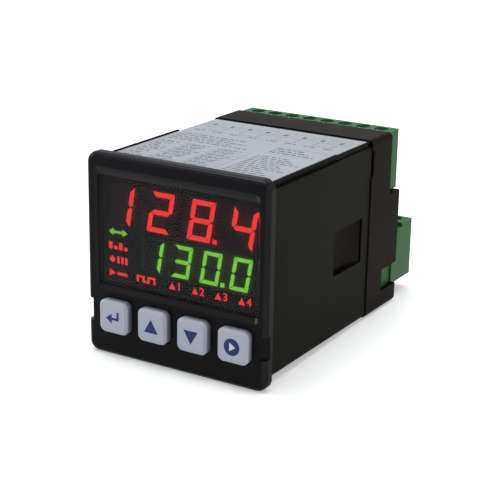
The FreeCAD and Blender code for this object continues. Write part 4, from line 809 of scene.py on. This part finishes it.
nylon_tree.links.new(way_bump.outputs["Normal"],
                     nylon_tree.nodes["Principled BSDF"].inputs["Normal"])
# Painted shade: the nylon darkens in the fine groove between the ways.
way_groove_shade = nylon_tree.nodes.new("ShaderNodeMix")
way_groove_shade.data_type = "RGBA"
way_groove_shade.inputs["A"].default_value = (0.014, 0.045, 0.015, 1)
nylon_tree.links.new(way_groove, way_groove_shade.inputs["Factor"])
nylon_tree.links.new(nylon_tree.nodes["Mix"].outputs["Result"], way_groove_shade.inputs["B"])
nylon_tree.links.new(way_groove_shade.outputs["Result"],
                     nylon_tree.nodes["Principled BSDF"].inputs["Base Color"])
number_ink = moulded_plastic("number_ink", (0.55, 0.58, 0.55), 0.5, specular=0.2)
for plug, first_number in (("upper_plug", 1), ("lower_plug", 9)):
    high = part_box(plug)[1]
    numbers = bmesh.new()
    for way in range(8):
        add_number(numbers, str(first_number + way), 1.5)
        fresh = [vertex for vertex in numbers.verts if not vertex.tag]
        bmesh.ops.translate(numbers, verts=fresh,
                            vec=((way - 3.5) * way_pitch * MM, high[1] - 5.1 * MM,
                                 high[2] + 0.004 * MM))
        for vertex in fresh:
            vertex.tag = True
    finish_piece(numbers, plug + "_numbers", number_ink, plug)
    body = softened_copy(plug, plug + "_moulding", 0.16)
    body.data.materials.append(terminal_nylon)
    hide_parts(plug)
    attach(body, plug)


# ---- Terminal screws and wire clamps ----
# Slotted cheese-head screws in zinc-plated steel that sit in the top of each way and
# lift a tin-plated clamp round the wire.

def metal(name, colour, roughness, gloss_change=0.15, depth=0.01):
    """A plated metal: the same grain as the mouldings, much finer, over a bright base."""
    material = moulded_plastic(name, colour, roughness, grain=4000.0, depth=depth,
                               gloss_change=gloss_change, shade=0.08)
    material.node_tree.nodes["Principled BSDF"].inputs["Metallic"].default_value = 1.0
    return material


screw_steel = metal("zinc_plated_steel", (0.52, 0.53, 0.52), 0.34)
tin_plate = metal("tin_plate", (0.66, 0.66, 0.64), 0.38)
for plug in ("upper_plug", "lower_plug"):
    screws = softened_copy(plug + "_screws", plug + "_screw_set", 0.08, angle=50.0)
    screws.data.materials.append(screw_steel)
    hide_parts(plug + "_screws")
    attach(screws, plug)
    nodes[plug + "_clamps"].data.materials[0] = tin_plate


# ---- Terminal headers ----
# Green shrouds soldered to the two boards, with square tin-plated pins for the plugs.

header_nylon = moulded_plastic("header_green_nylon", nylon_green, 0.5, specular=0.1,
                               grain=1800.0)
for header in ("upper_header", "lower_header"):
    nodes[header].data.materials[0] = header_nylon
    nodes[header + "_pins"].data.materials[0] = tin_plate


# ---- Circuit boards and their parts ----
# Green glass-fibre boards: the display board stands behind the keypad, the power board
# and the signal board lie in the sleeve and carry the supply, relays and input parts.

board_green = moulded_plastic("board_solder_mask", (0.015, 0.10, 0.035), 0.35, grain=900.0,
                              depth=0.02)
for board in ("display_board", "power_board", "signal_board"):
    nodes[board].data.materials[0] = board_green
chip_black = moulded_plastic("chip_epoxy", (0.022, 0.022, 0.024), 0.6, grain=2500.0)
core_steel = metal("ferrite_core", (0.10, 0.10, 0.11), 0.6)
coil_tape = moulded_plastic("coil_tape", (0.62, 0.42, 0.06), 0.4)
can_blue = moulded_plastic("capacitor_film", (0.03, 0.06, 0.20), 0.35)
relay_blue = moulded_plastic("relay_case", (0.04, 0.16, 0.42), 0.4)
quartz_metal = metal("quartz_can_metal", (0.60, 0.60, 0.58), 0.3)
INNER = {"processor_chip": chip_black, "measuring_chips": chip_black,
         "display_driver": chip_black, "link_sockets": chip_black, "link_pins": tin_plate,
         "transformer_core": core_steel, "transformer_coil": coil_tape,
         "smoothing_capacitors": can_blue, "output_relays": relay_blue,
         "quartz_can": quartz_metal}
for node, material in INNER.items():
    nodes[node].data.materials[0] = material
